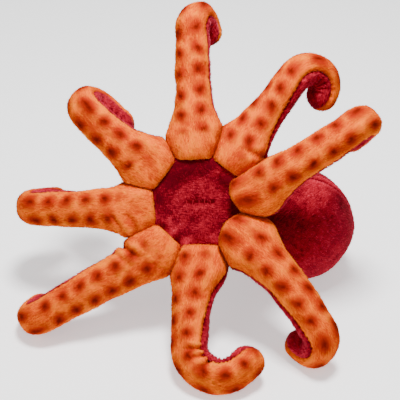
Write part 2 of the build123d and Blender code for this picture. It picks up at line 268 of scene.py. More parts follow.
class Ripple:
    """Soft lumps: a sum of sine waves over two surface coordinates, with seeded directions."""

    def __init__(self, seed: int, wavelength: float, waves: int = 7) -> None:
        """Draws the waves.

        Args:
            seed: the seed of the random draws.
            wavelength: the lumps' rough size in millimetres.
            waves: how many waves are added up.
        """
        generator = np.random.default_rng(seed)
        heading = generator.uniform(0, 2 * math.pi, waves)
        number = 2 * math.pi / (wavelength * generator.uniform(0.7, 1.6, waves))
        self.first = np.cos(heading) * number
        self.second = np.sin(heading) * number
        self.phase = generator.uniform(0, 2 * math.pi, waves)

    def at(self, first: Array, second: Array) -> Array:
        """The height of the lumps.

        Args:
            first: millimetres along the surface.
            second: millimetres across it.

        Returns:
            Heights between about -1 and 1.
        """
        total = np.zeros(np.broadcast(first, second).shape)
        for along, across, phase in zip(self.first, self.second, self.phase):
            total = total + np.sin(first * along + second * across + phase)
        return total / math.sqrt(2.0 * len(self.phase))


class MouthFrame:
    """The frame that the surfaces are worked out in, and the way from it to the row frame."""

    def __init__(self) -> None:
        """Takes the frame's place from the CAD's mouth patch."""
        tilt = math.radians(MOUTH_ELEVATION)
        self.axes = np.array([[1.0, 0.0, 0.0],
                              [0.0, math.sin(tilt), math.cos(tilt)],
                              [0.0, -math.cos(tilt), math.sin(tilt)]])
        low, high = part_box("mouth_patch")
        middle = (np.array(low) + np.array(high)) / 2 / MM
        self.origin = middle + self.axes[2] * PATCH_MIDDLE_DEPTH

    def to_row(self, points: Array) -> Array:
        """Points in row-frame millimetres.

        Args:
            points: points in the mouth frame, in millimetres.

        Returns:
            The same points in the row frame, in millimetres.
        """
        return self.origin + points @ self.axes

    def turn_to_row(self, directions: Array) -> Array:
        """Directions in the row frame.

        Args:
            directions: directions in the mouth frame.

        Returns:
            The same directions in the row frame.
        """
        return directions @ self.axes

    def metres(self, point: Array) -> Vector:
        """One mouth-frame point as a row-frame vector in metres.

        Args:
            point: the point, in millimetres.

        Returns:
            The vector.
        """
        return Vector(self.to_row(np.asarray(point, float)) * MM)


# ---------------------------------------------------------------- meshes


@dataclass
class Patch:
    """A piece's mesh data: vertices and triangles, with a normal, two coordinates in the
    fabric (millimetres) and two pile values for every vertex: its lightness, random per tuft plus painted
    shade and painted highlight, and its height up the tuft."""

    points: Array
    normals: Array
    fabric: Array
    pile: Array
    triangles: Array
    chart: Array

    def joined(self, other: "Patch") -> "Patch":
        """This patch and another as one.

        Args:
            other: the patch to add.

        Returns:
            A patch that holds both.
        """
        pairs = ((getattr(self, column.name), getattr(other, column.name)) for column in fields(self))
        both = Patch(*(np.concatenate(pair) for pair in pairs))
        both.triangles[len(self.triangles):] += len(self.points)
        return both


@dataclass
class Grid:
    """A surface as a grid of points with outward normals, fabric coordinates, lay and painted light.

    lay is the direction that the pile lies in at every point, and the last field how much lighter or
    darker its pile is drawn than elsewhere: painted shade in folds, grooves and hollows and painted
    highlight on ridges, with brushed patches as well on the mouth patch.
    """

    points: Array
    normals: Array
    fabric: Array
    lay: Array
    # Painted shade and painted highlight, and on the mouth patch brushed patches too.
    tone: Array

    def rows(self, start: int, end: int) -> "Grid":
        """The grid from one row to another, both included.

        Args:
            start: the first row.
            end: the last row.

        Returns:
            The smaller grid.
        """
        return Grid(*(values[start:end + 1] for values in self.columns()))

    def columns(self) -> list[Array]:
        """The grid's arrays in the order of its fields."""
        return [getattr(self, column.name) for column in fields(self)]

    def lined(self, inner: "Grid", along: int = 0) -> "Grid":
        """This surface followed by the fabric's inside in reverse.

        Args:
            inner: the inside, of the same shape and with its normals the same way.
            along: the way that the inside is added, 0 for more rows and 1 for more columns.

        Returns:
            The grid that goes round the fabric's edge and faces outwards on both sides.
        """
        back = replace(inner, normals=-inner.normals)
        pairs = zip(self.columns(), back.columns())
        return Grid(*(np.concatenate([face, np.flip(rear, along)], along) for face, rear in pairs))


def grid_normals(points: Array, outward: Array, wrapped: bool = False) -> Array:
    """Unit normals of a grid of points, on the side that outward points to.

    Each is the cross product of the central differences along the two grid directions.

    Args:
        points: the grid, shaped rows, columns, 3.
        outward: a rough outward direction at every point.
        wrapped: whether the columns close on themselves, the last column repeating the first.

    Returns:
        The normals, shaped as points.
    """
    down = np.gradient(points, axis=0)
    across = np.gradient(points, axis=1)
    if wrapped:
        edge = (points[:, 1] - points[:, -2]) / 2
        across[:, 0] = edge
        across[:, -1] = edge
    normals = np.cross(down, across)
    weak = np.linalg.norm(normals, axis=-1, keepdims=True) < 1e-7
    normals = np.where(weak, outward, normals)
    normals = unit(normals)
    facing = np.sum(normals * outward, axis=-1, keepdims=True)
    return normals * np.where(facing < 0, -1.0, 1.0)


def without_slivers(points: Array, triangles: Array) -> tuple[Array, Array]:
    """Triangles whose equal corners are welded, with the collapsed ones left out.

    Args:
        points: the vertices.
        triangles: vertex numbers, three per triangle.

    Returns:
        The kept triangles in new vertex numbers, and which old vertices are kept.
    """
    cells = np.round(points * 2e3).astype(np.int64)
    _, first, same = np.unique(cells, axis=0, return_index=True, return_inverse=True)
    welded = first[same.reshape(-1)][triangles]
    first_corner, second_corner, third_corner = welded.T
    whole = (first_corner != second_corner) & (second_corner != third_corner)
    welded = welded[whole & (first_corner != third_corner)]
    kept, numbers = np.unique(welded, return_inverse=True)
    return numbers.reshape(-1, 3), kept


def quads_to_triangles(corners: Array) -> Array:
    """Two triangles for every quad.

    Args:
        corners: vertex numbers, four per quad.

    Returns:
        Vertex numbers, three per triangle.
    """
    return np.concatenate([corners[:, [0, 1, 2]], corners[:, [0, 2, 3]]])


def lattice_quads(rows: int, columns: int) -> Array:
    """The quads between neighbouring rows and columns of a grid.

    Args:
        rows: how many rows of vertices there are.
        columns: how many columns.

    Returns:
        Vertex numbers, four per quad.
    """
    number = np.arange(rows * columns).reshape(rows, columns)
    corners = number[:-1, :-1], number[:-1, 1:], number[1:, 1:], number[1:, :-1]
    return np.stack(corners, -1).reshape(-1, 4)


def stitched(points: Array, normals: Array, fabric: Array, tone: Array, quads: Array,
             chart: Array) -> Patch:
    """A closed patch from grids of values and the quads that join them.

    Args:
        points: a grid of points.
        normals: their normals.
        fabric: their fabric coordinates.
        tone: how much lighter the fabric is at each.
        quads: vertex numbers, four per quad.
        chart: their bake coordinates, between 0 and 1.

    Returns:
        The patch, without the triangles that collapse, facing outwards.
    """
    flat = points.reshape(-1, 3)
    triangles, kept = without_slivers(flat, quads_to_triangles(quads))
    return outward_facing(Patch(
        flat[kept], normals.reshape(-1, 3)[kept], fabric.reshape(-1, 2)[kept],
        skin_pile(tone.reshape(-1)[kept]), triangles, inner_chart(chart.reshape(-1, 2)[kept])))


def even_chart(rows: int, columns: int, row_share: float) -> Array:
    """Bake coordinates that grow evenly over a grid.

    Args:
        rows: how many rows it has.
        columns: how many columns.
        row_share: how many rows fill the whole chart.

    Returns:
        The coordinates, across and down.
    """
    across, down = np.arange(columns) / (columns - 1), np.arange(rows) / row_share
    return np.stack(np.meshgrid(across, down), -1)


def shell(outer: Grid, inner: Grid) -> Patch:
    """A closed shell between an outer and an inner grid of the same shape.

    The outer columns and the inner ones in reverse make a tube, which is closed by a strip at
    each end. Rows that meet in a pole are welded.

    Args:
        outer: the outside surface.
        inner: the inside surface.

    Returns:
        The shell.
    """
    rows, columns = outer.points.shape[:2]
    tube = outer.lined(inner, along=1)
    width = 2 * columns
    number = np.arange(rows * width).reshape(rows, width)
    following = np.roll(number, -1, axis=1)
    walls = np.stack([number[:-1], following[:-1], following[1:], number[1:]], axis=-1).reshape(-1, 4)
    column = np.arange(columns - 1)
    caps = []
    for row, order in ((0, (3, 2, 1, 0)), (rows - 1, (0, 1, 2, 3))):
        line = number[row]
        strip = np.stack([line[column], line[column + 1],
                          line[width - 2 - column], line[width - 1 - column]], -1)
        caps.append(strip[:, list(order)])
    return stitched(tube.points, tube.normals, tube.fabric, tube.tone, np.concatenate([walls, *caps]),
                    even_chart(rows, width, rows - 1))


def inner_chart(chart: Array) -> Array:
    """Bake coordinates drawn in from the edges of the chart.

    Args:
        chart: coordinates between 0 and 1.

    Returns:
        The coordinates with a margin round them.
    """
    return CHART_MARGIN + (1 - 2 * CHART_MARGIN) * chart


def skin_pile(tone: Array) -> Array:
    """The pile values of the skin under the tufts, which is drawn darker than the tufts: painted shade
    under the pile.

    Args:
        tone: the tone at every vertex.

    Returns:
        A lightness, with the painted shade and highlight added, and a height of nought for every vertex.
    """
    return np.stack([np.clip(SKIN_PAINTED_SHADE + tone, 0, 1), np.zeros(len(tone))], axis=-1)


def outward_facing(patch: Patch) -> Patch:
    """The patch with its triangles wound so that they face as its normals do.

    Args:
        patch: a closed patch with consistent winding.

    Returns:
        The patch, with every triangle turned over if most faced inwards.
    """
    a, b, c = (patch.points[patch.triangles[:, k]] for k in range(3))
    faces = np.cross(b - a, c - a)
    if np.sum(faces * patch.normals[patch.triangles[:, 0]]) < 0:
        patch.triangles = patch.triangles[:, ::-1].copy()
    return patch


@dataclass(frozen=True)
class Pile:
    """The nap of a fabric: tufts per square millimetre, and their size and lean."""

    density: float = 1.05
    length: float = 2.3
    width: float = 0.55
    lean: float = 17.0
    swirl: float = 24.0


ARM_PILES = {Side.UNDER: Pile(), Side.TOP: Pile(length=2.4, lean=26.0, swirl=34.0)}
MOUTH_PILE = Pile(density=1.3, length=2.0, width=0.5, lean=16.0, swirl=24.0)
HEAD_PILE = Pile(density=0.95, length=2.2, lean=20.0, swirl=28.0)


class Nap:
    """Sows tufts on a grid. Each is a slender closed tetrahedron that lies along the pile.

    Its foot is a little below the skin. The spreads are standard deviations.
    """

    FOOT_DEPTH = 0.25
    LEAN_SPREAD = 8.0
    SHADE, SHADE_SPREAD = 0.5, 0.16
    # Heights up the tuft; the material draws each tuft lighter towards its tip, a painted highlight.
    CORNER_HEIGHTS = (0.25, 0.25, 0.4, 1.0)
    CORNER_CHART = ((-0.3e-3, 0.0), (0.3e-3, 0.0), (0.0, -0.3e-3), (0.0, 0.3e-3))
    FACES = ((0, 1, 2), (0, 3, 1), (1, 3, 2), (2, 3, 0))

    def __init__(self, pile: Pile, seed: int) -> None:
        """Starts a nap.

        Args:
            pile: the fabric's pile.
            seed: the seed of its random draws.
        """
        self.pile = pile
        self.random = np.random.default_rng(seed)

    def sown(self, grid: Grid, wrapped: bool = False) -> Patch:
        """Tufts spread evenly over a grid.

        Args:
            grid: the surface to sow.
            wrapped: whether the fabric's inside follows the grid's last row, as it does where
                the columns close on themselves, or else its last column.

        Returns:
            The tufts, each with its root's fabric and bake coordinates.
        """
        points = grid.points
        rows, columns = points.shape[:2]
        first = points[1:, :-1] - points[:-1, :-1]
        second = points[:-1, 1:] - points[:-1, :-1]
        area = np.linalg.norm(np.cross(first, second), axis=-1)
        expected = area.reshape(-1) * self.pile.density
        count = int(expected.sum())
        cell = np.searchsorted(np.cumsum(expected), (np.arange(count) + 0.5) * expected.sum() / count)
        cell = np.clip(cell, 0, expected.size - 1)
        row, column = np.unravel_index(cell, area.shape)
        down, across = self.random.uniform(0, 1, (2, count))
        size = (columns - 1, 2 * rows) if wrapped else (2 * columns - 1, rows - 1)
        chart = np.stack([column + across, row + down], -1) / size
        root = self.between(points, row, column, down, across)
        normal = unit(self.between(grid.normals, row, column, down, across))
        fabric = self.between(grid.fabric, row, column, down, across)
        lay = self.between(grid.lay, row, column, down, across)
        tone = self.between(grid.tone[..., None], row, column, down, across)[:, 0]
        return self.tufts(root, normal, fabric, lay, tone, inner_chart(chart))

    def between(self, values: Array, row: Array, column: Array, down: Array, across: Array) -> Array:
        """Values inside grid cells, mixed from the four corners.

        Args:
            values: a grid of values.
            row: the row of each cell.
            column: the column of each cell.
            down: the share of the way to the next row.
            across: the share of the way to the next column.

        Returns:
            One mixed value per cell.
        """
        down, across = down[:, None], across[:, None]
        upper = values[row, column] * (1 - across) + values[row, column + 1] * across
        lower = values[row + 1, column] * (1 - across) + values[row + 1, column + 1] * across
        return upper * (1 - down) + lower * down

    def tufts(self, root: Array, normal: Array, fabric: Array, lay: Array, tone: Array,
              chart: Array) -> Patch:
        """Tetrahedra with their foot round each root and their tip leaning along the lay.

        Args:
            root: where each tuft stands.
            normal: the surface's normal there.
            fabric: the fabric coordinates there.
            lay: the direction that the pile lies in there.
            tone: how much lighter the pile is there.
            chart: the bake coordinates there.

        Returns:
            The tufts as one patch.
        """
        count = len(root)
        pile = self.pile
        along = unit(lay - normal * np.sum(lay * normal, axis=-1, keepdims=True))
        aside = np.cross(normal, along)
        swirl = np.radians(self.random.normal(0, pile.swirl, count))[:, None]
        heading = along * np.cos(swirl) + aside * np.sin(swirl)
        aside = np.cross(normal, heading)
        lean = np.radians(self.random.normal(pile.lean, self.LEAN_SPREAD, count).clip(6, 60))[:, None]
        length = (pile.length * self.random.uniform(0.7, 1.25, count))[:, None]
        half = pile.width / 2 * self.random.uniform(0.7, 1.2, count)[:, None]
        foot = root - normal * self.FOOT_DEPTH
        tip = root + (heading * np.cos(lean) + normal * np.sin(lean)) * length
        points = np.stack([foot - aside * half, foot + aside * half,
                           foot - heading * half + normal * (half * 0.9 + self.FOOT_DEPTH), tip], axis=1)
        soft = unit(normal + aside * self.random.normal(0, 0.16, count)[:, None]
                    + heading * self.random.normal(0.06, 0.12, count)[:, None])
        normals = np.repeat(soft[:, None], 4, axis=1)
        # Each tuft's lightness is random, plus the painted shade and painted highlight of the skin under
        # it.
        shade = (self.random.normal(self.SHADE, self.SHADE_SPREAD, count) + tone).clip(0, 1)
        values = np.stack([np.repeat(shade[:, None], 4, axis=1),
                           np.tile(self.CORNER_HEIGHTS, (count, 1))], axis=-1)
        corner = 4 * np.arange(count)[:, None, None]
        triangles = (corner + np.array(self.FACES)).reshape(-1, 3)
        spread = np.repeat(chart[:, None], 4, axis=1) + self.CORNER_CHART
        made = Patch(points.reshape(-1, 3), normals.reshape(-1, 3), np.repeat(fabric, 4, axis=0),
                     values.reshape(-1, 2), triangles, spread.reshape(-1, 2))
        return outward_wound(made)


def outward_wound(patch: Patch) -> Patch:
    """The tufts with each tetrahedron's faces turned to face away from its middle.

    Args:
        patch: tetrahedra, four vertices and four triangles each.

    Returns:
        The patch, with its triangles turned over where they faced inwards.
    """
    a, b, c = (patch.points[patch.triangles[:, k]] for k in range(3))
    middle = np.repeat(patch.points.reshape(-1, 4, 3).mean(1), 4, axis=0)
    inward = np.sum(np.cross(b - a, c - a) * (a - middle), axis=-1) < 0
    patch.triangles[inward] = patch.triangles[inward][:, ::-1]
    return patch


class Workshop:
    """Makes objects from patches, in the row frame, and hides the CAD nodes that they replace."""

    def __init__(self, mouth: MouthFrame) -> None:
        """Makes the materials that the pieces share.

        Args:
            mouth: the way to the row frame.
        """
        self.mouth = mouth
        self.red = CRIMSON.make()
        self.orange = ORANGE.make()
        self.fibre = Fibre().make()
        self.thread = SewingThread().make()

    def piece(self, name: str, patch: Patch, material: bpy.types.Material) -> bpy.types.Object:
        """A mesh object at the origin that holds a patch.

        Args:
            name: the object's name.
            patch: its mesh data, in the mouth frame.
            material: its material.

        Returns:
            The object, linked to the scene.
        """
        mesh = bpy.data.meshes.new(name)
        points = self.mouth.to_row(patch.points) * MM
        points[:, 2] = np.maximum(points[:, 2], 0.0)
        triangles = patch.triangles.astype(np.int32)
        mesh.vertices.add(len(points))
        mesh.vertices.foreach_set("co", points.astype(np.float32).ravel())
        mesh.loops.add(triangles.size)
        mesh.loops.foreach_set("vertex_index", triangles.ravel())
        mesh.polygons.add(len(triangles))
        mesh.polygons.foreach_set("loop_start", np.arange(0, triangles.size, 3, dtype=np.int32))
        mesh.polygons.foreach_set("use_smooth", np.ones(len(triangles), bool))
        for layer, values in (("Fabric", patch.fabric / DECIMETRE), ("OFBake", patch.chart)):
            coordinates = mesh.uv_layers.new(name=layer, do_init=False)
            coordinates.data.foreach_set("uv", values[triangles.ravel()].astype(np.float32).ravel())
        # pile_shade is each vertex's lightness: random per tuft, plus painted shade in folds and hollows
        # and painted highlight on ridges.
        for column, label in enumerate(("pile_shade", "pile_height")):
            attribute = mesh.attributes.new(label, "FLOAT", "POINT")
            attribute.data.foreach_set("value", patch.pile[:, column].astype(np.float32))
        mesh.update(calc_edges=True)
        mesh.normals_split_custom_set_from_vertices(unit(self.mouth.turn_to_row(patch.normals)).tolist())
        mesh.materials.append(material)
        made = bpy.data.objects.new(name, mesh)
        bpy.context.scene.collection.objects.link(made)
        LOG.info("%s has %d triangles", name, len(triangles))
        return made

    def soft(self, made: bpy.types.Object, slot: str, fill: float, *nodes: str) -> bpy.types.Object:
        """Hides the CAD nodes that a stuffed piece replaces.

        Args:
            made: the piece.
            slot: not used.
            fill: not used.
            nodes: the CAD nodes that it replaces.

        Returns:
            The piece.
        """
        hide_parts(*nodes)
        return made

    def stuffing(self, name: str, patch: Patch, fill: float, node: str) -> bpy.types.Object:
        """Args:
            name: the piece's name.
            patch: its mesh data.
            fill: not used.
            node: the CAD node that it replaces.

        Returns:
            The piece.
        """
        return self.soft(self.piece(name, patch, self.fibre), "stuffing", fill, node)


# ---------------------------------------------------------------- arms


class Centreline:
    """The curve along the middle of an arm, with its section's directions."""

    def __init__(self, plan: ArmPlan) -> None:
        """Starts the line at the arm's root.

        Args:
            plan: the arm's plan.
        """
        self.plan = plan
        self.length = sum(bend.length for bend in plan.bends)
        azimuth = math.radians(plan.azimuth)
        outward = np.array([math.cos(azimuth), math.sin(azimuth), 0.0])
        side = np.cross([0.0, 0.0, 1.0], outward)
        lift = np.array([math.radians(plan.lift)])
        self.outward = outward
        self.start = (outward * MOUTH_APOTHEM + (0.0, 0.0, plan.root_height),
                      turned(outward, side, lift)[0], turned(np.array([0.0, 0.0, 1.0]), side, lift)[0])

    @property
    def curl_station(self) -> float:
        """Where the second bend line lies."""
        return self.hook_station - CURL_SETBACK

    @property
    def hook_station(self) -> float:
        """Where the curled end starts."""
        return self.length - sum(bend.length for bend in self.plan.bends[-2:])

    def stations(self, distances: Array) -> tuple[Array, Array, Array]:
        """The points and directions at distances along the arm.

        Over a bend the directions turn about a fixed axis, so the line is an arc or a helix.

        Args:
            distances: millimetres from the mouth patch.

        Returns:
            The points, the directions along the arm, and the directions out of its underside.
        """
        distances = np.asarray(distances, float)
        points, alongs, unders = (np.zeros((len(distances), 3)) for _ in range(3))
        point, along, under = self.start
        travelled = 0.0
        for number, bend in enumerate(self.plan.bends):
            last = number == len(self.plan.bends) - 1
            inside = (distances >= travelled) | (number == 0)
            inside &= (distances < travelled + bend.length) | last
            wanted = np.append(distances[inside] - travelled, bend.length)
            side = np.cross(under, along)
            spin = along * bend.twist + under * bend.sway + side * bend.curl
            size = float(np.linalg.norm(spin))
            axis = spin / size if size > 1e-9 else along
            rate = math.radians(size) / bend.length
            angle = rate * wanted
            axial = axis * float(axis @ along)
            radial = along - axial
            forward = np.sin(angle) / rate if rate > 0 else wanted
            away = ((1 - np.cos(angle)) / rate)[:, None] * np.cross(axis, radial) if rate > 0 else 0.0
            reached = point + wanted[:, None] * axial + forward[:, None] * radial + away
            heads = turned(along, axis, angle)
            belly = turned(under, axis, angle)
            points[inside], alongs[inside], unders[inside] = reached[:-1], heads[:-1], belly[:-1]
            point, along, under = reached[-1], heads[-1], belly[-1]
            travelled += bend.length
        return points, alongs, unders

    def point(self, distance: float) -> Array:
        """The point at one distance.

        Args:
            distance: millimetres from the mouth patch.

        Returns:
            The point in the mouth frame.
        """
        return self.stations(np.array([distance]))[0][0]


@dataclass
class Arm:
    """One stuffed arm: its two panels, cut into three stretches, and its stuffing.

    Across the arm the outline is a superellipse: the distance from the centre line in the
    direction of angle a is 1 / (|cos a / half width|^p + |sin a / half depth|^p)^(1/p). Lumps,
    creases, gathers on the inside of the curl and a groove at each seam are added to that
    distance. Near the mouth the surface is held within the arm's share between its two seam
    planes, and rolls down into the seam round the mouth patch. The heights, depths, widths and
    pitches are in millimetres.
    """

    index: int
    spacing: float = 1.25
    cap_rows: int = 15
    panel_columns: int = 37
    lump_height: float = 0.55
    dimple_height: float = 0.16
    seam_depth: float = 1.5
    seam_width: float = 1.7
    lip_height: float = 0.35
    lip_place: float = 4.0
    lip_width: float = 2.2
    stitch_pitch: float = 5.2
    gather_height: float = 0.7
    gather_pitch: float = 7.5
    bank_share: float = 0.35
    edge_angle: float = 0.02
    outline_power: float = 2.35
    root_squareness: float = 0.75
    mouth_gap: float = 0.4
    under_seam_height: float = -10.4
    under_seam_rise: float = 0.8
    top_seam_height: float = -12.0
    top_seam_fall: float = 16.0
    roll_length: float = 15.0
    groove_depth: float = 3.6
    groove_width: float = 2.6
    stuffing_inset: float = 4.2
    stuffing_rows: int = 15
    stuffing_columns: int = 24

    def __post_init__(self) -> None:
        """Lays the centre line, the seam planes, the lumps and the rows."""
        index = self.index
        self.plan = ARMS[index]
        self.line = Centreline(self.plan)
        following = ARMS[(index + 1) % len(ARMS)].azimuth
        previous = ARMS[index - 1].azimuth
        self.low = self.plan.azimuth - ((self.plan.azimuth - following) % 360) / 2
        self.high = self.plan.azimuth + ((previous - self.plan.azimuth) % 360) / 2
        self.lumps = Ripple(40 + index, 26.0)
        self.dimples = Ripple(60 + index, 9.0)
        count = int(self.line.length / self.spacing)
        body = np.linspace(0.0, self.line.length - TIP_RADIUS, count)
        cap = np.sin(np.linspace(0, math.pi / 2, self.cap_rows))[1:] * TIP_RADIUS
        self.distances = np.concatenate([body, self.line.length - TIP_RADIUS + cap])

    def row_at(self, distance: float) -> int:
        """The grid row nearest a distance.

        Args:
            distance: millimetres along the arm.

        Returns:
            The row's number.
        """
        return int(np.argmin(np.abs(self.distances - distance)))

    def half_sizes(self, distances: Array) -> tuple[Array, Array]:
        """Half the width and half the depth along the arm.

        Args:
            distances: millimetres along the arm.

        Returns:
            The half widths and the half depths.
        """
        full = self.plan.fullness
        tip = self.line.length - TIP_RADIUS
        places = [-5, 0, 14, 23, 29, 35, 46, 60, tip]
        widths = [15, 18, 26, 25.8, 23.4, 20.6, 17.6 + (full - 1) * 10, 16 * full, TIP_RADIUS + 0.6]
        depths = [13, 13.3, 15.2, 15.8, 15.8, 15.6, 14.6, 13.6 * full, TIP_RADIUS + 0.2]
        fine = np.linspace(-8, tip, 400)
        kernel = np.hanning(17) / np.hanning(17).sum()
        smooth = []
        for values in (widths, depths):
            padded = np.pad(np.interp(fine, places, values), 8, mode="edge")
            smooth.append(np.interp(distances, fine, np.convolve(padded, kernel, mode="valid")))
        closing = np.sqrt(np.clip(1 - (np.clip(distances - tip, 0, TIP_RADIUS) / TIP_RADIUS) ** 2, 0, 1))
        return smooth[0] * closing, smooth[1] * closing

    def relief(self, along: Array, angle: Array, radius: Array) -> Array:
        """The small shape of the fabric, added to the distance from the centre line.

        Args:
            along: millimetres along the arm, as a column.
            angle: radians round the section, as a row.
            radius: the distance from the centre line without relief.

        Returns:
            The relief in millimetres.
        """
        round_way = radius * angle
        total = self.lump_height * self.lumps.at(along, round_way)
        total = total + self.dimple_height * self.dimples.at(along, round_way)
        to_seam = np.minimum(np.abs(np.sin(angle)) * radius, 40.0)
        stitch_turn = 2 * math.pi * along / self.stitch_pitch
        pucker = 1.0 + 0.35 * np.sin(stitch_turn + 3 * np.sign(np.cos(angle)))
        total = total - self.seam_depth * pucker * ridge_at(to_seam, 0.0, self.seam_width)
        total = total + self.lip_height * ridge_at(to_seam, self.lip_place, self.lip_width)
        hook = smoothstep(along, self.line.hook_station - 4, self.line.hook_station + 6)
        hook = hook * (1 - smoothstep(along, self.line.length - 22, self.line.length - 12))
        inner = smoothstep(-np.sin(angle), -0.1, 0.9)
        gather_turn = 2 * math.pi * along / self.gather_pitch + 0.8 * np.cos(angle)
        total = total + self.gather_height * hook * inner * np.sin(gather_turn)
        for crease in self.plan.creases:
            offset = np.degrees(angle) - crease.angle
            place = along - crease.station - crease.slant * offset
            extent = 1 - smoothstep(np.abs(offset), 0.35 * crease.reach, crease.reach)
            valley = ridge_at(place, 0.0, crease.width)
            banks = ridge_at(np.abs(place), 2.1 * crease.width, 1.1 * crease.width)
            total = total + crease.depth * extent * (self.bank_share * banks - valley)
        fade = 1 - smoothstep(along, self.line.length - 8, self.line.length)
        return total * fade

    def surface(self, side: Side, inset: float) -> Grid:
        """One panel's surface from the mouth patch to the tip.

        Args:
            side: which panel.
            inset: how far inside the fabric's outside, in millimetres.

        Returns:
            The surface as a grid, one row per distance.
        """
        edge = self.edge_angle + inset * 0.004
        angles = np.linspace(edge, math.pi - edge, self.panel_columns)
        angles = angles if side is Side.UNDER else angles + math.pi
        distances = self.distances
        points, alongs, unders = self.line.stations(distances)
        sides = np.cross(unders, alongs)
        widths, depths = self.half_sizes(distances)
        widths, depths = np.maximum(widths, 1e-4)[:, None], np.maximum(depths, 1e-4)[:, None]
        power = self.outline_power + self.root_squareness * (1 - smoothstep(distances, 24, 46))[:, None]
        across, out = np.cos(angles)[None, :], np.sin(angles)[None, :]
        radius = (np.abs(across / widths) ** power + np.abs(out / depths) ** power) ** (-1 / power)
        relief = self.relief(distances[:, None], angles[None, :], radius)
        radius = np.maximum(radius + relief - inset, 0.0)
        radius[-1] = 0.0
        shape = (sides[:, None] * (radius * across)[..., None]
                 + unders[:, None] * (radius * out)[..., None])
        placed = points[:, None] + shape
        placed = self.rolled(placed, distances, out, inset)
        placed, grooves = self.between_seams(placed, distances, inset)
        # The pile is drawn darker in the hollows, creases and seam grooves and lighter on lumps and lips:
        # painted shade and painted highlight following the relief.
        tone = np.clip(0.17 * relief, -0.42, 0.16) - 0.10 * grooves
        length = self.line.length
        ends = inset * smoothstep(distances, length - TIP_RADIUS, length)
        placed = placed - alongs[:, None] * ends[:, None, None]
        tipward = 14 * smoothstep(distances, length - 14, length)[:, None, None]
        rough = unit(shape + alongs[:, None] * tipward)
        normals = grid_normals(placed, rough)
        normals[-1] = alongs[-1]
        ahead = self.index * ARM_STEP + SPOT_START - self.plan.clear
        fabric = np.stack([np.broadcast_to(distances[:, None], radius.shape) + ahead,
                           radius * (angles[None, :] - side.middle)], -1)
        stray = 0.5 * self.lumps.at(fabric[..., 1] * 1.4, fabric[..., 0] * 0.8)[..., None]
        lay = unit(alongs[:, None] + stray * np.cross(normals, alongs[:, None]))
        return Grid(placed, normals, fabric, lay, tone)

    def rolled(self, placed: Array, distances: Array, out: Array, inset: float) -> Array:
        """The surface with its first rows rolled down into the seam round the mouth patch.

        The height above the seam grows as a quarter circle over the first millimetres, and no
        point comes nearer to the mouth's axis than the edge of the patch.

        Args:
            placed: the surface's points.
            distances: the rows' distances along the arm.
            out: the sine of each column's angle.
            inset: how far inside the fabric's outside.

        Returns:
            The moved points.
        """
        outward = self.line.outward
        reach = placed @ outward
        pushed = held_above(reach, MOUTH_APOTHEM + self.mouth_gap + inset, 2.0)
        belly = np.clip(distances / 22.0, 0, 1)[:, None]
        pushed = pushed - self.plan.overhang * 4 * belly * (1 - belly) * np.clip(out, 0, 1) ** 1.5
        near = 1 - smoothstep(distances, 22, 40)[:, None]
        placed = placed + outward * ((pushed - reach) * near)[..., None]
        seam = np.where(out > 0, self.under_seam_height + self.under_seam_rise * np.abs(out) ** 0.5,
                        self.top_seam_height - self.top_seam_fall * np.abs(out) ** 0.7)
        seam = seam - inset * np.sign(out)
        share = np.clip(distances / self.roll_length, 0, 1)[:, None]
        rise = np.sqrt(1 - (1 - share) ** 2)
        height = seam + (placed[..., 2] - seam) * rise
        placed = placed.copy()
        placed[..., 2] = height
        return placed

    def between_seams(self, placed: Array, distances: Array, inset: float) -> tuple[Array, Array]:
        """The surface held between the two seam planes that it shares with its neighbours.

        A point's distance d inside a plane becomes log(1 + exp(d)) in millimetres, which is d
        when the plane is far and never goes below zero.

        Args:
            placed: the surface's points.
            distances: the rows' distances along the arm.
            inset: how far inside the fabric's outside.

        Returns:
            The moved points, and how deep the groove is at each.
        """
        near = (1 - smoothstep(distances, 36, 52))[:, None]
        grooves = np.zeros(placed.shape[:2])
        for azimuth, turn in ((self.high, 1.0), (self.low, -1.0)):
            angle = math.radians(azimuth)
            normal = turn * np.array([-math.sin(angle), math.cos(angle), 0.0])
            inside = -(placed @ normal) - 0.05 - inset
            held = held_above(inside, 0.0, 1.0)
            placed = placed - normal * ((held - inside) * near)[..., None]
            groove = self.groove_depth * near * np.exp(-held / self.groove_width)
            facing = np.sign(placed[..., 2] - self.plan.root_height)
            placed = placed + np.array(DOWN) * (groove * facing)[..., None]
            grooves = grooves + groove
        return placed, grooves

    def filling(self, start: float, end: float) -> Patch:
        """The stuffing between two distances, well inside the panels and rounded at both ends.

        Args:
            start: where it starts.
            end: where it ends.

        Returns:
            A closed patch.
        """
        way = np.linspace(-1, 1, self.stuffing_rows)
        distances = start + (end - start) * (way + 1) / 2
        points, alongs, unders = self.line.stations(distances)
        widths, depths = self.half_sizes(np.minimum(distances, self.line.length - TIP_RADIUS))
        share_of_circle = (MOUTH_APOTHEM + distances) * math.tan(math.radians(20))
        room = np.minimum(1.0, share_of_circle / widths) * 0.9
        round_off = np.sqrt(np.clip(1 - np.abs(way) ** 3.5, 0, 1))
        wide = ((widths - self.stuffing_inset) * room * round_off)[:, None]
        deep = ((depths - self.stuffing_inset) * round_off)[:, None]
        angles = np.linspace(0, 2 * math.pi, self.stuffing_columns + 1)
        sides = np.cross(unders, alongs)
        lumpy = 1 + 0.03 * self.dimples.at(distances[:, None], 8 * np.cos(angles))
        lumpy[:, -1] = lumpy[:, 0]
        shape = (sides[:, None] * (wide * np.cos(angles) * lumpy)[..., None]
                 + unders[:, None] * (deep * np.sin(angles) * lumpy)[..., None])
        placed = points[:, None] + shape
        rough = unit(shape + alongs[:, None] * (way ** 5 * 12)[:, None, None])
        return closed_lathe(placed, rough)

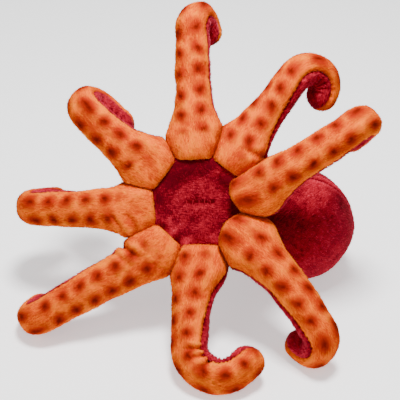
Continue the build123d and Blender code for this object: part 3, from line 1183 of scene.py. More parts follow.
    def build(self, workshop: Workshop) -> None:
        """Builds three skins a side and three stuffings.

        Args:
            workshop: makes the pieces.
        """
        name, line = self.plan.name, self.line
        middle_station = (ROOT_STATION + line.curl_station) / 2
        cuts = (0, self.row_at(middle_station), self.row_at(line.hook_station), len(self.distances) - 1)
        for side in Side:
            outer, inner = self.surface(side, 0.0), self.surface(side, PILE_WALL)
            material = workshop.orange if side is Side.UNDER else workshop.red
            for number, section in enumerate(Section):
                rows = cuts[number], cuts[number + 1]
                part = outer.rows(*rows)
                nap = Nap(ARM_PILES[side], 1000 + 60 * self.index + 6 * number + side.value)
                patch = shell(part, inner.rows(*rows)).joined(nap.sown(part))
                word, place = side.cad_word, section.value
                made = workshop.piece(f"{name}_{place}_{word}_skin", patch, material)
                at_base = section is Section.BASE
                node = f"arm_base_{word}_panels" if at_base else f"{name}_{place}_{word}_panel"
                workshop.soft(made, side.slot, ARM_FILL, node)
                self.tie(made, section, workshop.mouth)
        stretches = {Section.BASE: (2.0, ROOT_STATION - 1),
                     Section.MIDDLE: (ROOT_STATION + 1, line.curl_station - 1),
                     Section.END: (line.curl_station + 1, line.length - 4)}
        for section, stretch in stretches.items():
            own, at_base = f"{name}_{section.value}", section is Section.BASE
            node = "arm_base_stuffing" if at_base else f"{own}_stuffing"
            made = workshop.stuffing(f"{own}_fibre", self.filling(*stretch), ARM_FILL, node)
            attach(made, "body" if at_base else own)

    def tie(self, made: bpy.types.Object, section: Section, mouth: MouthFrame) -> None:
        """Attaches an end skin to its arm's end body, and bakes the other skins' placing into their
        meshes.

        Args:
            made: the skin.
            section: which stretch of the arm it covers.
            mouth: the way to the row frame.
        """
        name, curl = self.plan.name, self.line.curl_station
        if section is Section.END:
            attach(made, f"{name}_end")
            return
        at_base = section is Section.BASE
        station, reach = (ROOT_STATION, ROOT_REACH) if at_base else (curl, CURL_REACH)
        start, end = self.line.point(station - reach), self.line.point(station + reach)
        mouth.metres(start)
        mouth.metres(end)
        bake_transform(made)


def closed_lathe(placed: Array, rough: Array, fabric: Optional[Array] = None,
                 tone: Optional[Array] = None) -> Patch:
    """A closed surface from rings whose first and last rows meet in poles.

    Args:
        placed: the points, whose last column repeats the first.
        rough: a rough outward direction at every point.
        fabric: the fabric coordinates, or None for the row and column numbers.
        tone: the tone at every point, or None for an even one.

    Returns:
        The closed patch.
    """
    normals = grid_normals(placed, rough, wrapped=True)
    normals[0], normals[-1] = rough[0].mean(0), rough[-1].mean(0)
    rows, columns = placed.shape[:2]
    chart = even_chart(rows, columns, rows)
    fabric = chart * 50.0 if fabric is None else fabric
    tone = np.zeros(placed.shape[:2]) if tone is None else tone
    return stitched(placed, normals, fabric, tone, lattice_quads(rows, columns), chart)


# ---------------------------------------------------------------- mouth, neck and head


@dataclass
class MouthPatch:
    """The sunken patch in the middle: a disc whose edge is straight along every arm's root.

    Its radius in a direction is the apothem over the cosine of the angle to the nearest arm. It
    dips towards the closing stitches, swells a little near the rim and is puckered beside the
    stitches. tuck is how far its rim runs on under the arms, swell_place a share of the way to
    the rim, stitches the places of the closing stitches across it, and the other sizes are
    millimetres.
    """

    tuck: float = 3.6
    edge_depth: float = 7.2
    dish: float = 2.4
    rim_drop: float = 1.4
    unevenness: float = 0.9
    swell: float = 0.8
    swell_place: float = 0.76
    fold_depth: float = 1.5
    pucker_height: float = 0.7
    stitch_pitch: float = 5.3
    stitches: tuple = (-11.0, -5.5, 0.0, 5.0, 10.0)
    stitch_reach: float = 2.6
    stitch_arch: float = 1.7
    stitch_depth: float = 10.4
    thread_radius: float = 0.32
    fill: float = 0.8
    rows: int = 48
    columns: int = 168

    def __post_init__(self) -> None:
        """Draws the patch's lumps."""
        self.lumps = Ripple(7, 16.0)

    def grid(self, depth: float) -> Grid:
        """The surface, some way under the patch's outside.

        Args:
            depth: millimetres below the outside.

        Returns:
            The surface, whose first row is the middle and last row the rim.
        """
        angles = np.linspace(0, 2 * math.pi, self.columns + 1)
        gaps = [np.abs((np.degrees(angles) - arm.azimuth + 180) % 360 - 180) for arm in ARMS]
        nearest = np.radians(np.min(gaps, axis=0))
        rim = (MOUTH_APOTHEM + self.tuck) / np.cos(nearest)
        share = np.linspace(0, 1, self.rows)[:, None]
        across, up = share * rim * np.cos(angles), share * rim * np.sin(angles)
        rolling = self.unevenness * (1 - 0.8 * smoothstep(share, 0.8, 0.95))
        height = -self.edge_depth - self.dish * (1 - share ** 2) + rolling * self.lumps.at(across, up)
        height = height - self.rim_drop * smoothstep(share, 0.84, 1.0)
        height = height + self.swell * ridge_at(share, self.swell_place, 0.1)
        gather = ridge_at(up, 0.0, 2.2) * (1 - smoothstep(np.abs(across), 10, 16))
        beside = ridge_at(np.abs(up), 4.2, 2.4) * (1 - smoothstep(np.abs(across), 9, 17))
        puckers = 0.7 + 0.5 * np.cos(2 * math.pi * across / self.stitch_pitch)
        height = height - self.fold_depth * gather + self.pucker_height * beside * puckers
        points = np.stack([across, up, height - depth], -1)
        upward = np.broadcast_to([0.0, 0.0, 1.0], points.shape)
        normals = grid_normals(points, upward, wrapped=True)
        normals[0] = (0, 0, 1)
        lay = unit(np.stack([0.4 + self.lumps.at(up, across), -1 + self.lumps.at(across, up + 30),
                             np.zeros_like(up)], -1))
        # Along the upper-left rim and the right side, under the arms' roots, and in the fold along the
        # stitches the pile is drawn darker: painted shade. The whole patch is a little darker, and
        # elsewhere near the rim brushed patches are lighter or darker.
        shaded = np.maximum(np.cos((angles - math.radians(125)) / 2) ** 8, 0.9 * np.cos(angles / 2) ** 12)
        tone = -0.13 - 0.45 * shaded * smoothstep(share, 0.45, 0.8) - 0.04 * gather
        brushed = smoothstep(share, 0.5, 0.85) * self.lumps.at(across * 1.3, up * 1.3)
        tone = tone + 0.3 * (1 - shaded) * brushed
        return Grid(points, normals, points[..., :2].copy(), lay, tone)

    def patch(self) -> Patch:
        """The closed patch: the outside, a rim and the inside.

        Returns:
            The patch's mesh data without tufts.
        """
        whole = self.grid(0.0).lined(self.grid(PILE_WALL))
        return closed_lathe(whole.points, whole.normals, whole.fabric, whole.tone)

    def stitching(self) -> Patch:
        """The closing stitches, arched threads that lean a little either way.

        Returns:
            The threads as one patch.
        """
        random = np.random.default_rng(5)
        way = np.linspace(-1, 1, 15)
        made: Optional[Patch] = None
        for place in self.stitches:
            lean = random.uniform(-0.9, 0.9)
            arch = self.stitch_arch * np.sqrt(1 - 0.97 * way ** 2) - self.stitch_depth
            stitch = thread(np.stack([place + lean * way, self.stitch_reach * way, arch], -1),
                            self.thread_radius)
            made = stitch if made is None else made.joined(stitch)
        return made

    def build(self, workshop: Workshop) -> None:
        """Builds the patch and its closing stitches.

        Args:
            workshop: makes the pieces.
        """
        patch = self.patch().joined(Nap(MOUTH_PILE, 77).sown(self.grid(0.0), wrapped=True))
        made = workshop.piece("mouth_patch_skin", patch, workshop.red)
        workshop.soft(made, "red_plush", self.fill, "mouth_patch")
        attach(made, "body")
        made = workshop.piece("mouth_closing_stitches", self.stitching(), workshop.thread)
        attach(made, "body")


@dataclass
class BodyFilling:
    """The stuffing behind the mouth patch: a drum with rounded edges."""

    radius: float = 31.0
    depth: float = 21.5
    half_height: float = 8.5
    rows: int = 17
    columns: int = 48

    def patch(self) -> Patch:
        """The drum, whose radius falls with the fourth power of the way up and down.

        Returns:
            A closed patch.
        """
        way = np.linspace(-1, 1, self.rows)
        turn = np.linspace(0, 2 * math.pi, self.columns + 1)
        radius = (self.radius * np.sqrt(np.clip(1 - np.abs(way) ** 4, 0, 1)))[:, None]
        height = np.broadcast_to((-self.depth - self.half_height * way)[:, None],
                                 (self.rows, self.columns + 1))
        points = np.stack([radius * np.cos(turn), radius * np.sin(turn), height], -1)
        ends = np.array(DOWN) * (way ** 5 * 30)[:, None, None]
        return closed_lathe(points, unit(points - (0, 0, -self.depth) + ends))

    def build(self, workshop: Workshop) -> None:
        """Builds the piece.

        Args:
            workshop: makes the piece.
        """
        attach(workshop.stuffing("body_fibre", self.patch(), ARM_FILL, "body_stuffing"), "body")


@dataclass
class Head:
    """The round head, drawn out into the neck, with its seam.

    In a direction at the angle a from the neck's, its surface lies one radius from the middle
    where a is over 52 degrees, 63 mm at 23 degrees and less again inside the neck. Each panel is
    a grid of circles round the axis that the seam is square to. The seam is a groove of
    seam_depth between two lips, and the gathers are folds where the neck begins.
    """

    mouth: MouthFrame
    radius: float = 52.0
    distance: float = 129.0
    heading: tuple = (0.71, -0.155, -0.68)
    seam_heading: tuple = (0.0, 0.57, -0.82)
    lump_height: float = 0.6
    dimple_height: float = 0.14
    seam_depth: float = 1.9
    seam_lip: float = 0.9
    gather: float = 0.8
    gather_angle: float = 32.0
    floor_gap: float = 0.15
    fill: float = 0.9
    rows: int = 70
    columns: int = 200
    stuffing_inset: float = 4.5
    stuffing_lift: float = 4.0
    stuffing_rows: int = 40
    stuffing_columns: int = 60

    def __post_init__(self) -> None:
        """Places the head's middle, its seam's axis and its lumps."""
        self.axis = unit(np.array(self.heading))
        self.middle = self.axis * self.distance
        self.pole = unit(np.array(self.seam_heading))
        self.first = unit(np.cross(self.pole, self.axis))
        self.second = np.cross(self.pole, self.first)
        self.lumps = Ripple(21, 42.0)
        self.dimples = Ripple(22, 13.0)

    def directions(self, lean: Array, turn: Array, facing: float = 1.0) -> Array:
        """Unit vectors from the middle.

        Args:
            lean: angles from the seam's axis.
            turn: angles round it.
            facing: 1 for the crown's end of the axis, -1 for the neck's.

        Returns:
            The vectors, one for every lean and turn.
        """
        return (self.pole * (facing * np.cos(lean))[..., None]
                + self.first * (np.sin(lean) * np.cos(turn))[..., None]
                + self.second * (np.sin(lean) * np.sin(turn))[..., None])

    def from_neck(self, directions: Array) -> Array:
        """The angle between directions and the neck's, in degrees."""
        return np.degrees(np.arccos(np.clip(-(directions @ self.axis), -1, 1)))

    def reach(self, directions: Array) -> Array:
        """The distance from the middle to the surface.

        Args:
            directions: unit vectors from the middle.

        Returns:
            The distances in millimetres.
        """
        places = [0, 12, 20, 23, 28, 34, 40, 46, 52, 180]
        sizes = [56, 60, 63, 63.2, 60.2, 56.6, 53.9, 52.5, self.radius, self.radius]
        return np.interp(self.from_neck(directions), places, sizes)

    def panel(self, facing: float, inset: float) -> Grid:
        """One panel's surface, from its pole to the seam.

        Args:
            facing: 1 for the crown's side of the seam, -1 for the neck's.
            inset: how far inside the fabric's outside.

        Returns:
            The surface as a grid.
        """
        lean = np.linspace(0, math.pi / 2 - 0.006 - inset * 0.001, self.rows)[:, None]
        turn = np.linspace(0, 2 * math.pi, self.columns + 1)[None, :]
        directions = self.directions(lean, turn, facing)
        wave_one = self.radius * directions[..., 0]
        wave_two = self.radius * directions[..., 1] + 0.4 * self.radius * directions[..., 2]
        radius = self.reach(directions) + self.lump_height * self.lumps.at(wave_one, wave_two)
        radius = radius + self.dimple_height * self.dimples.at(wave_one, wave_two)
        to_seam = self.radius * (math.pi / 2 - lean)
        pucker = 1 + 0.3 * np.sin(turn * 64) + 0.2 * np.sin(turn * 23 + 1)
        radius = radius - self.seam_depth * pucker * ridge_at(to_seam, 0.0, 1.5)
        radius = radius + self.seam_lip * ridge_at(to_seam, 4.2, 2.6)
        gathers = ridge_at(self.from_neck(directions), self.gather_angle, 14)
        around = np.arctan2(directions @ np.cross(self.axis, self.pole), directions @ self.pole)
        folds = np.sin(9 * around + 0.8 * np.sin(3 * around))
        radius = radius + self.gather * gathers * folds
        points = self.rested(self.middle + directions * (radius - inset)[..., None], inset)
        normals = grid_normals(points, directions, wrapped=True)
        normals[0] = self.pole * facing
        fabric = np.stack([self.radius * lean * np.cos(turn) * facing,
                           self.radius * lean * np.sin(turn)], -1)
        stray = self.lumps.at(wave_two, wave_one)[..., None]
        flow = unit(self.axis + 0.45 * np.cross(self.axis, directions) * stray + 0.001)
        # The pile is drawn lighter on the lips beside the seam and on the gathers' crests, and darker in
        # the seam's groove, in the gathers' troughs and over the gathers near the neck: painted highlight
        # and painted shade.
        tone = 0.3 * ridge_at(to_seam, 4.4, 2.2) - 0.3 * ridge_at(to_seam, 0.0, 1.8)
        tone = tone + 0.12 * gathers * folds - 0.25 * gathers
        return Grid(points, normals, fabric, flow, tone)

    def rested(self, points: Array, inset: float) -> Array:
        """The points with those at the floor held just above it.

        Args:
            points: points in the mouth frame.
            inset: how far inside the fabric's outside.

        Returns:
            The moved points.
        """
        row = self.mouth.to_row(points)
        lifted = held_above(row[..., 2], self.floor_gap + inset, 0.8)
        return points + self.mouth.axes[:, 2] * (lifted - row[..., 2])[..., None]

    def shell(self, facing: float) -> tuple[Patch, Grid]:
        """A panel as a closed shell.

        Args:
            facing: 1 for the crown's side, -1 for the neck's.

        Returns:
            The shell, and its outside as a grid.
        """
        outer = self.panel(facing, 0.0)
        whole = outer.lined(self.panel(facing, PILE_WALL))
        return closed_lathe(whole.points, whole.normals, whole.fabric, whole.tone), outer

    def filling(self) -> Patch:
        """The head's stuffing, a few millimetres inside the fabric.

        Returns:
            A closed patch.
        """
        lean = np.linspace(0, math.pi, self.stuffing_rows)[:, None]
        turn = np.linspace(0, 2 * math.pi, self.stuffing_columns + 1)[None, :]
        directions = self.directions(lean, turn)
        reach = self.reach(directions) - self.stuffing_inset
        points = self.middle + directions * reach[..., None]
        return closed_lathe(self.rested(points, self.stuffing_lift), directions)

    def build(self, workshop: Workshop) -> None:
        """Builds the two panels and the stuffing.

        Args:
            workshop: makes the pieces.
        """
        for facing, label in ((1.0, "crown"), (-1.0, "neck")):
            patch, outer = self.shell(facing)
            patch = patch.joined(Nap(HEAD_PILE, 300 + int(facing)).sown(outer, wrapped=True))
            made = workshop.piece(f"head_{label}_skin", patch, workshop.red)
            workshop.soft(made, "red_plush", self.fill, f"head_{label}_panel")
            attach(made, "head")
        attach(workshop.stuffing("head_fibre", self.filling(), self.fill, "head_stuffing"), "head")


@dataclass
class Neck:
    """The gathered skin between the back of the body and the head.

    Every point lies on the way from a ring behind the mouth patch to a ring inside the head's
    edge. radii are its radii at the shares of that way in places: wide at both ends, with a
    gathered waist nearer to the head. Over the first drop_share of the rows the base ring runs
    down, and the rest of the rows lead to the head.
    """

    head: Head
    places: tuple = (0.0, 0.06, 0.12, 0.3, 0.6, 0.85, 1.0)
    radii: tuple = (40.5, 38.5, 35.6, 31.5, 28.5, 28.0, 30.0)
    base_depth: float = 13.5
    base_drop: float = 13.0
    drop_share: float = 0.2
    end_distance: float = 84.0
    length: float = 70.0
    fold_count: int = 13
    fold_height: float = 0.9
    pivot: float = 47.0
    reach_to_body: float = 12.0
    reach_to_head: float = 14.0
    fill: float = 0.8
    rows: int = 44
    columns: int = 132

    def grid(self, inset: float) -> Grid:
        """The neck's skin.

        Args:
            inset: how far inside the fabric's outside.

        Returns:
            The surface as a grid, one row per ring.
        """
        share = np.linspace(0, 1, self.rows)[:, None]
        turn = np.linspace(0, 2 * math.pi, self.columns + 1)[None, :]
        axis = self.head.axis
        hinge = unit(np.cross(DOWN, axis))
        drop = self.base_drop * smoothstep(share, 0.0, self.drop_share)
        base = np.array(DOWN) * (self.base_depth + drop)
        end = np.broadcast_to(axis * self.end_distance, base.shape)
        outs = []
        for heading in (DOWN, axis):
            aside = np.cross(hinge, heading)
            outs.append(aside * np.cos(turn)[..., None] + hinge * np.sin(turn)[..., None])
        run = np.clip((share - self.drop_share) / (1 - self.drop_share), 0, 1)[..., None]
        out = unit(outs[0] * (1 - run) + outs[1] * run)
        waves = np.sin(self.fold_count * turn + 0.9 * np.sin(4 * turn))
        folds = waves * self.fold_height * np.sin(math.pi * run[..., 0])
        radius = np.interp(run[..., 0], self.places, self.radii) + folds - inset
        points = base[:, None] * (1 - run) + end[:, None] * run + out * radius[..., None]
        normals = grid_normals(points, out, wrapped=True)
        fabric = np.stack([np.broadcast_to(share * self.length, radius.shape), radius * turn], -1)
        lay = np.broadcast_to(axis, points.shape)
        # The pile is drawn lighter on the folds' crests and darker in their troughs, painted highlight
        # and painted shade, and the whole neck a little darker.
        return Grid(points, normals, fabric, lay.copy(), 0.12 * folds - 0.15)

    def build(self, workshop: Workshop) -> None:
        """Builds the skin and bakes its placing into its mesh.

        Args:
            workshop: makes the piece.
        """
        outer, inner = self.grid(0.0), self.grid(PILE_WALL)
        patch = torus(outer, inner).joined(Nap(HEAD_PILE, 310).sown(outer, wrapped=True))
        made = workshop.piece("neck_skin", patch, workshop.red)
        workshop.soft(made, "red_plush", self.fill, "neck_collar")
        axis, mouth = self.head.axis, workshop.mouth
        start, end = axis * (self.pivot - self.reach_to_body), axis * (self.pivot + self.reach_to_head)
        mouth.metres(start)
        mouth.metres(end)
        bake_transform(made)


def torus(outer: Grid, inner: Grid) -> Patch:
    """A closed ring of fabric between an outer and an inner wrapped grid.

    Args:
        outer: the outside, whose last column repeats the first.
        inner: the inside.

    Returns:
        The closed patch.
    """
    columns_round = outer.lined(inner).columns()
    placed, normals, fabric, _, tone = (np.concatenate([each, each[:1]]) for each in columns_round)
    rows, columns = placed.shape[:2]
    return stitched(placed, normals, fabric, tone, lattice_quads(rows, columns),
                    even_chart(rows, columns, rows - 1))


def thread(path: Array, radius: float) -> Patch:
    """A closed tube of sewing thread along a path.

    Args:
        path: points along its middle.
        radius: its radius in millimetres.

    Returns:
        The closed patch.
    """
    heading = unit(np.gradient(path, axis=0))
    aside = unit(np.cross(heading, [0.31, 0.17, 0.93]))
    third = np.cross(heading, aside)
    turn = np.linspace(0, 2 * math.pi, THREAD_SIDES + 1)[None, :]
    size = np.full(len(path), radius)
    size[0] = size[-1] = 0.0
    out = aside[:, None] * np.cos(turn)[..., None] + third[:, None] * np.sin(turn)[..., None]
    rough = out.copy()
    rough[0], rough[-1] = -heading[0], heading[-1]
    return closed_lathe(path[:, None] + out * size[:, None, None], rough)


# ---------------------------------------------------------------- materials

Value = Union["Wire", float]
FINE_NOISE = 0.55


class Wire:
    """A shader socket that adds, multiplies and so on by making maths nodes."""

    def __init__(self, graph: "Graph", socket: bpy.types.NodeSocket) -> None:
        """Wraps a socket.

        Args:
            graph: the node tree that it belongs to.
            socket: the socket.
        """
        self.graph = graph
        self.socket = socket

    def __add__(self, other: Value) -> "Wire":
        """This plus other."""
        return self.graph.maths("ADD", self, other)

    def __radd__(self, other: Value) -> "Wire":
        """Other plus this."""
        return self.graph.maths("ADD", other, self)

    def __sub__(self, other: Value) -> "Wire":
        """This less other."""
        return self.graph.maths("SUBTRACT", self, other)

    def __rsub__(self, other: Value) -> "Wire":
        """Other less this."""
        return self.graph.maths("SUBTRACT", other, self)

    def __mul__(self, other: Value) -> "Wire":
        """This times other."""
        return self.graph.maths("MULTIPLY", self, other)

    def __rmul__(self, other: Value) -> "Wire":
        """Other times this."""
        return self.graph.maths("MULTIPLY", other, self)

    def __truediv__(self, other: Value) -> "Wire":
        """This over other."""
        return self.graph.maths("DIVIDE", self, other)

    def __rtruediv__(self, other: Value) -> "Wire":
        """Other over this."""
        return self.graph.maths("DIVIDE", other, self)


class Graph:
    """A material's node tree."""

    def __init__(self, name: str) -> None:
        """Starts a material with its surface shader.

        Args:
            name: the material's name.
        """
        self.material = bpy.data.materials.new(name)
        self.material.use_nodes = True
        self.tree = self.material.node_tree
        self.shader = self.tree.nodes["Principled BSDF"]

    def node(self, kind: str, inputs: Optional[dict] = None, output: Union[str, int] = 0,
             **settings: object) -> Wire:
        """Adds a node.

        Args:
            kind: the node's type.
            inputs: values or wires for its inputs, by name or number.
            output: which output to return.
            settings: the node's own properties.

        Returns:
            The chosen output.
        """
        made = self.tree.nodes.new(kind)
        for key, value in settings.items():
            setattr(made, key, value)
        for key, value in (inputs or {}).items():
            self.feed(made.inputs[key], value)
        return Wire(self, made.outputs[output])

    def feed(self, socket: bpy.types.NodeSocket, value: object) -> None:
        """Links a wire to an input or sets its value.

        Args:
            socket: the input.
            value: a wire, a number or a tuple.
        """
        if isinstance(value, Wire):
            self.tree.links.new(value.socket, socket)
        else:
            socket.default_value = value

    def maths(self, operation: str, *values: Value) -> Wire:
        """A maths node.

        Args:
            operation: the operation's name.
            values: its inputs.

        Returns:
            The result.
        """
        return self.node("ShaderNodeMath", dict(enumerate(values)), operation=operation)

    def ramp(self, value: Value, low: float, high: float) -> Wire:
        """A smooth rise from 0 at low to 1 at high.

        Args:
            value: what is read.
            low: where it starts.
            high: where it ends.

        Returns:
            The rise.
        """
        return self.node("ShaderNodeMapRange", {"Value": value, "From Min": low, "From Max": high},
                         interpolation_type="SMOOTHSTEP")

    def mixed(self, share: Value, first: object, second: object) -> Wire:
        """A mix of two colours.

        Args:
            share: how much of the second.
            first: a colour or wire.
            second: a colour or wire.

        Returns:
            The mixed colour.
        """
        return self.node("ShaderNodeMix", {0: share, 6: first, 7: second}, output=2,
                         data_type="RGBA", clamp_factor=True)

    def coordinates(self) -> tuple[Wire, Wire, Wire]:
        """The fabric coordinates in millimetres.

        Returns:
            The vector, and the ways along and across the fabric.
        """
        place = self.node("ShaderNodeUVMap", output="UV", uv_map="Fabric")
        scaled = self.scaled(place, (DECIMETRE,) * 3)
        along, across = (self.node("ShaderNodeSeparateXYZ", {0: scaled}, output=way) for way in "XY")
        return scaled, along, across

    def scaled(self, place: Wire, factors: tuple) -> Wire:
        """A vector times one factor for each way.

        Args:
            place: the vector.
            factors: the three factors.

        Returns:
            The scaled vector.
        """
        return self.node("ShaderNodeVectorMath", {0: place, 1: factors}, operation="MULTIPLY")

    def noise(self, place: Wire, stretch: tuple, detail: float = 2.0) -> Wire:
        """Noise over the fabric.

        Args:
            place: the fabric coordinates in millimetres.
            stretch: how many times per millimetre it varies, along and across.
            detail: how many finer layers it has.

        Returns:
            Values about 0.5.
        """
        inputs = {"Vector": self.scaled(place, (*stretch, 1.0)), "Scale": 1.0, "Detail": detail,
                  "Roughness": FINE_NOISE}
        return self.node("ShaderNodeTexNoise", inputs)

    def attribute(self, name: str) -> Wire:
        """A value stored on the mesh.

        Args:
            name: the attribute's name.

        Returns:
            Its value.
        """
        return self.node("ShaderNodeAttribute", output="Fac", attribute_name=name)

    def set(self, **inputs: object) -> None:
        """Sets inputs of the surface shader.

        Args:
            inputs: values or wires, with underscores for spaces.
        """
        for key, value in inputs.items():
            self.feed(self.shader.inputs[key.replace("_", " ")], value)


@dataclass(frozen=True)
class Plush:
    """Short brushed pile of one colour family.

    deep, body and the third colour are its linear colours: deep is painted shade in the depth of the
    pile, body the pile's own colour, and the third a painted highlight on the brushed tips, which comes
    where the pile is brushed up and towards each tuft's tip. sheen and glow are the colour and strength
    of its sheen, and mottle how unevenly it is brushed. level_shift is added to the level that chooses
    between the colours. The body colour comes in between the two body_levels and the painted highlight
    between the two levels of the highlight, at up to its share.
    """

    name: str
    # Painted shade in the depth of the pile.
    deep: tuple
    body: tuple
    # Painted highlight on the brushed tips.
    tips: tuple
    sheen: tuple
    glow: float
    mottle: float
    level_shift: float = -0.46
    body_levels: tuple = (0.12, 0.62)
    tip_levels: tuple = (0.54, 1.0)
    tip_share: float = 0.85
    roughness: float = 0.88
    specular: float = 0.03
    sheen_roughness: float = 0.35
    bump_strength: float = 0.35
    bump_height: float = 0.0006

    def dyed(self, graph: Graph, place: Wire, along: Wire, across: Wire, body: Wire) -> Wire:
        """The colour with any printed pattern.

        Args:
            graph: the material's tree.
            place: the fabric coordinates.
            along: the way along the fabric.
            across: the way across it.
            body: the plain colour.

        Returns:
            The colour.
        """
        return body

    def make(self) -> bpy.types.Material:
        """Builds the material.

        The level that chooses between the colours is a weighted sum of the pile's stored lightness, which
        is random per tuft plus painted shade and painted highlight, streaks along the pile and broad
        brushed patches.

        Returns:
            The material.
        """
        graph = Graph(self.name)
        place, along, across = graph.coordinates()
        shade, height = graph.attribute("pile_shade"), graph.attribute("pile_height")
        streaks = graph.noise(place, (0.22, 1.15), detail=3.0)
        brushed = graph.noise(place, (0.05, 0.085), detail=1.0)
        level = shade * 0.8 + streaks * 1.1 + (brushed - 0.5) * self.mottle + self.level_shift
        # Where the level is low the pile takes the deep colour: painted shade in the depth of the pile.
        body = graph.mixed(graph.ramp(level, *self.body_levels), self.deep, self.body)
        # A painted highlight on the brushed tips, stronger towards each tuft's tip.
        lit = graph.ramp(level + (height - 0.4) * 0.16, *self.tip_levels)
        body = graph.mixed(lit * self.tip_share, body, self.tips)
        colour = self.dyed(graph, place, along, across, body)
        fine = graph.noise(place, (0.8, 3.2), detail=2.0)
        bump = graph.node("ShaderNodeBump", {"Strength": self.bump_strength,
                                             "Distance": self.bump_height, "Height": fine})
        graph.set(Base_Color=colour, Roughness=self.roughness, Normal=bump,
                  Specular_IOR_Level=self.specular, Sheen_Weight=self.glow,
                  Sheen_Roughness=self.sheen_roughness, Sheen_Tint=(*self.sheen, 1.0))
        return graph.material


@dataclass(frozen=True)
class SpottedPlush(Plush):
    """Orange plush printed with two rows of blurred rust-brown spots along the arm.

    pitch is the way from spot to spot in a row, row_offset the way from the arm's middle to a
    row, and shifts how far each row is moved along the arm, in millimetres. A spot has a dark
    heart and a rust halo, each between its two distances from the spot's middle.
    """

    pitch: float = 17.5
    row_offset: float = 9.3
    shifts: tuple = (2.0, 6.5)
    heart: tuple = (0.2, 5.0)
    heart_share: float = 0.82
    heart_colour: tuple = (0.08, 0.003, 0.002, 1)
    halo: tuple = (3.2, 10.6)
    halo_share: float = 0.96
    rust: tuple = ((0.30, 0.008, 0.002, 1), (0.52, 0.024, 0.003, 1))

    def row(self, graph: Graph, along: Wire, across: Wire, sign: float, shift: float) -> Wire:
        """How near each place is to a spot of one row.

        Args:
            graph: the material's tree.
            along: the way along the arm.
            across: the way across it.
            sign: which row, 1 or -1.
            shift: how far the row is moved along the arm.

        Returns:
            The distance to the nearest spot's middle in millimetres.
        """
        turn = (along + shift) / self.pitch
        offset = (graph.maths("FRACT", turn) - 0.5) * self.pitch
        aside = (across - sign * self.row_offset) * 0.95
        return graph.maths("SQRT", offset * offset + aside * aside)

    def dyed(self, graph: Graph, place: Wire, along: Wire, across: Wire, body: Wire) -> Wire:
        """The orange with its spots, which start beyond the root and blur along the pile.

        Args:
            graph: the material's tree.
            place: the fabric coordinates.
            along: the way along the fabric.
            across: the way across it.
            body: the plain colour.

        Returns:
            The colour.
        """
        wander = graph.noise(place, (0.09, 0.09), detail=1.0)
        smear = graph.noise(place, (0.25, 1.3), detail=2.0)
        moved = along + (wander - 0.5) * 7.0 + (smear - 0.5) * 5.0
        arm = graph.maths("FLOOR", along / ARM_STEP)
        phase = graph.maths("FRACT", arm * 0.37) * self.pitch
        sideways = across + (graph.noise(place, (0.07, 0.11), detail=1.0) - 0.5) * 4.0
        rows = [self.row(graph, moved + phase, sideways, sign, shift)
                for sign, shift in zip((1.0, -1.0), self.shifts)]
        near = graph.maths("MINIMUM", *rows)
        on_arm = along - arm * ARM_STEP
        start = graph.ramp(on_arm, SPOT_START - 4.0, SPOT_START + 4.0)
        halo = (1.0 - graph.ramp(near, *self.halo)) * start
        heart = (1.0 - graph.ramp(near, *self.heart)) * start
        colour = graph.mixed(halo * self.halo_share, body, graph.mixed(smear, *self.rust))
        return graph.mixed(heart * self.heart_share, colour, self.heart_colour)


@dataclass(frozen=True)
class Fibre:
    """Off-white polyester stuffing fibre, between a shaded and a lit colour."""

    shaded: tuple = (0.62, 0.61, 0.58, 1)
    lit: tuple = (0.92, 0.91, 0.88, 1)
    tangle_scale: float = 420.0

    def make(self) -> bpy.types.Material:
        """Builds the material.

        Returns:
            The material.
        """
        graph = Graph("stuffing fibre")
        place = graph.node("ShaderNodeTexCoord", output="Object")
        tangle = graph.node("ShaderNodeTexNoise", {"Vector": place, "Scale": self.tangle_scale,
                                                   "Detail": 5.0, "Distortion": 1.4})
        bump = graph.node("ShaderNodeBump", {"Strength": 0.8, "Distance": 0.001, "Height": tangle})
        graph.set(Base_Color=graph.mixed(tangle, self.shaded, self.lit), Roughness=0.95, Normal=bump,
                  Specular_IOR_Level=0.1)
        return graph.material


@dataclass(frozen=True)
class Plastic:
    """Moulded plastic of one linear colour, with a faint unevenness about its roughness."""

    name: str
    colour: tuple
    roughness: float
    unevenness: float = 0.08

    def make(self) -> bpy.types.Material:
        """Builds the material.

        Returns:
            The material.
        """
        graph = Graph(self.name)
        place = graph.node("ShaderNodeTexCoord", output="Object")
        haze = graph.node("ShaderNodeTexNoise", {"Vector": place, "Scale": 260.0, "Detail": 3.0})
        roughness = haze * self.unevenness + (self.roughness - self.unevenness / 2)
        graph.set(Base_Color=(*self.colour, 1), Roughness=roughness)
        return graph.material


@dataclass(frozen=True)
class SewingThread:
    """Twisted crimson sewing thread, drawn dark between its plies and light on them along the twist:
    painted shade and painted highlight.
    """

    # Painted shade between the plies; the next colour is a painted highlight on them.
    dark: tuple = (0.22, 0.003, 0.010, 1)
    lit: tuple = (0.40, 0.007, 0.020, 1)

    def make(self) -> bpy.types.Material:
        """Builds the material.

        Returns:
            The material.
        """
        graph = Graph("sewing thread")
        place = graph.node("ShaderNodeUVMap", output="UV", uv_map="Fabric")
        ply = graph.node("ShaderNodeTexWave", {"Vector": place, "Scale": 30.0, "Distortion": 0.6})
        graph.set(Base_Color=graph.mixed(ply, self.dark, self.lit), Roughness=0.8,
                  Specular_IOR_Level=0.1)
        return graph.material


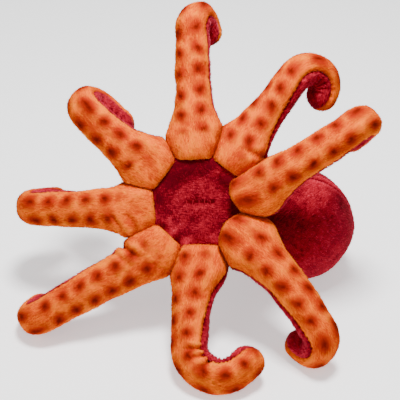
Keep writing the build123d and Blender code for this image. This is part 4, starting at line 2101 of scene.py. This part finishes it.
# Each plush's deep colour is painted shade in the depth of its pile, and its third colour a painted
# highlight on the brushed tips.
CRIMSON = Plush("crimson plush", deep=(0.09, 0.001, 0.005, 1), body=(0.42, 0.009, 0.024, 1),
                tips=(0.82, 0.046, 0.092, 1), sheen=(1.0, 0.14, 0.22), glow=0.35, mottle=0.4)
ORANGE = SpottedPlush("spotted orange plush", deep=(0.58, 0.043, 0.001, 1),
                      body=(0.97, 0.160, 0.001, 1), tips=(1.0, 0.32, 0.006, 1),
                      sheen=(1.0, 0.40, 0.06), glow=0.04, mottle=1.0)
EYE_PLASTICS = {"eyes": Plastic("polished black plastic", (0.012, 0.009, 0.008), 0.10),
                "eye_washers": Plastic("white plastic", (0.78, 0.78, 0.76), 0.45)}


class Eyes:
    """The CAD's eyes and their washers, which keep their shape and get their finish."""

    def build(self) -> None:
        """Gives each node its plastic."""
        for node, plastic in EYE_PLASTICS.items():
            shown = bpy.data.objects[node]
            shown.data.materials.clear()
            shown.data.materials.append(plastic.make())
            LOG.info("%s is %s", node, plastic.name)


# ---------------------------------------------------------------- the studio


@dataclass(frozen=True)
class Lamp:
    """A square soft light: where it hangs and its side in metres, and its power in watts."""

    name: str
    place: tuple
    side: float
    watts: float

    def hang(self, target: Vector) -> None:
        """Hangs the light.

        Args:
            target: the point that it faces, in metres.
        """
        data = bpy.data.lights.new(self.name, "AREA")
        data.shape, data.size, data.energy = "SQUARE", self.side, self.watts
        made = bpy.data.objects.new(self.name, data)
        made.location = self.place
        made.rotation_mode = "QUATERNION"
        made.rotation_quaternion = (target - Vector(self.place)).to_track_quat("-Z", "Y")
        bpy.context.scene.collection.objects.link(made)


@dataclass
class Studio:
    """The floor, the lights and the camera. Its sizes are in metres except the camera's."""

    mouth: MouthFrame
    camera_place: tuple = (0.85, 2.55, 803.0)
    focal_length: float = 85.0
    sensor: float = 36.0
    clip: tuple = (0.05, 20.0)
    floor_reach: float = 6.0
    floor_gap: float = 0.0006
    floor_colour: tuple = (0.94, 0.94, 0.945, 1)
    floor_glow: float = 0.65
    sky_strength: float = 0.45
    target: tuple = (0, 0, 0.1)
    lamps: tuple = (Lamp("key", (0.08, -0.08, 1.3), 0.28, 31.0),
                    Lamp("fill", (-0.9, -0.9, 0.9), 1.0, 5.0))

    def floor(self) -> None:
        """Lays a large pale floor just under the toy."""
        mesh = bpy.data.meshes.new("floor")
        reach = self.floor_reach
        corners = [(-reach, -reach, 0), (reach, -reach, 0), (reach, reach, 0), (-reach, reach, 0)]
        mesh.from_pydata(corners, [], [(0, 1, 2, 3)])
        graph = Graph("floor paper")
        graph.set(Base_Color=self.floor_colour, Roughness=0.9, Specular_IOR_Level=0.1,
                  Emission_Color=(1, 1, 1, 1), Emission_Strength=self.floor_glow)
        mesh.materials.append(graph.material)
        made = bpy.data.objects.new("floor", mesh)
        made.location.z = -self.floor_gap
        bpy.context.scene.collection.objects.link(made)

    def camera(self) -> None:
        """Places the camera square to the mouth patch, at a place in its frame's millimetres."""
        data = bpy.data.cameras.new("camera")
        data.lens, data.sensor_width = self.focal_length, self.sensor
        data.clip_start, data.clip_end = self.clip
        made = bpy.data.objects.new("camera", data)
        made.location = self.mouth.metres(np.array(self.camera_place))
        made.rotation_mode = "QUATERNION"
        made.rotation_quaternion = (-Vector(self.mouth.axes[2])).to_track_quat("-Z", "Y")
        bpy.context.scene.collection.objects.link(made)
        bpy.context.scene.camera = made

    def world(self) -> None:
        """Sets a white surrounding."""
        world = bpy.data.worlds.new("studio")
        world.use_nodes = True
        background = world.node_tree.nodes["Background"]
        background.inputs["Color"].default_value = (1, 1, 1, 1)
        background.inputs["Strength"].default_value = self.sky_strength
        bpy.context.scene.world = world

    def build(self) -> None:
        """Sets up the studio."""
        self.floor()
        self.world()
        for lamp in self.lamps:
            lamp.hang(Vector(self.target))
        self.camera()


def main() -> None:
    """Builds the toy and its studio."""
    logging.basicConfig(level=logging.INFO)
    mouth = MouthFrame()
    workshop = Workshop(mouth)
    for index in range(len(ARMS)):
        Arm(index).build(workshop)
    MouthPatch().build(workshop)
    BodyFilling().build(workshop)
    head = Head(mouth)
    head.build(workshop)
    Neck(head).build(workshop)
    Eyes().build()
    Studio(mouth).build()


if __name__ == "__main__":
    main()
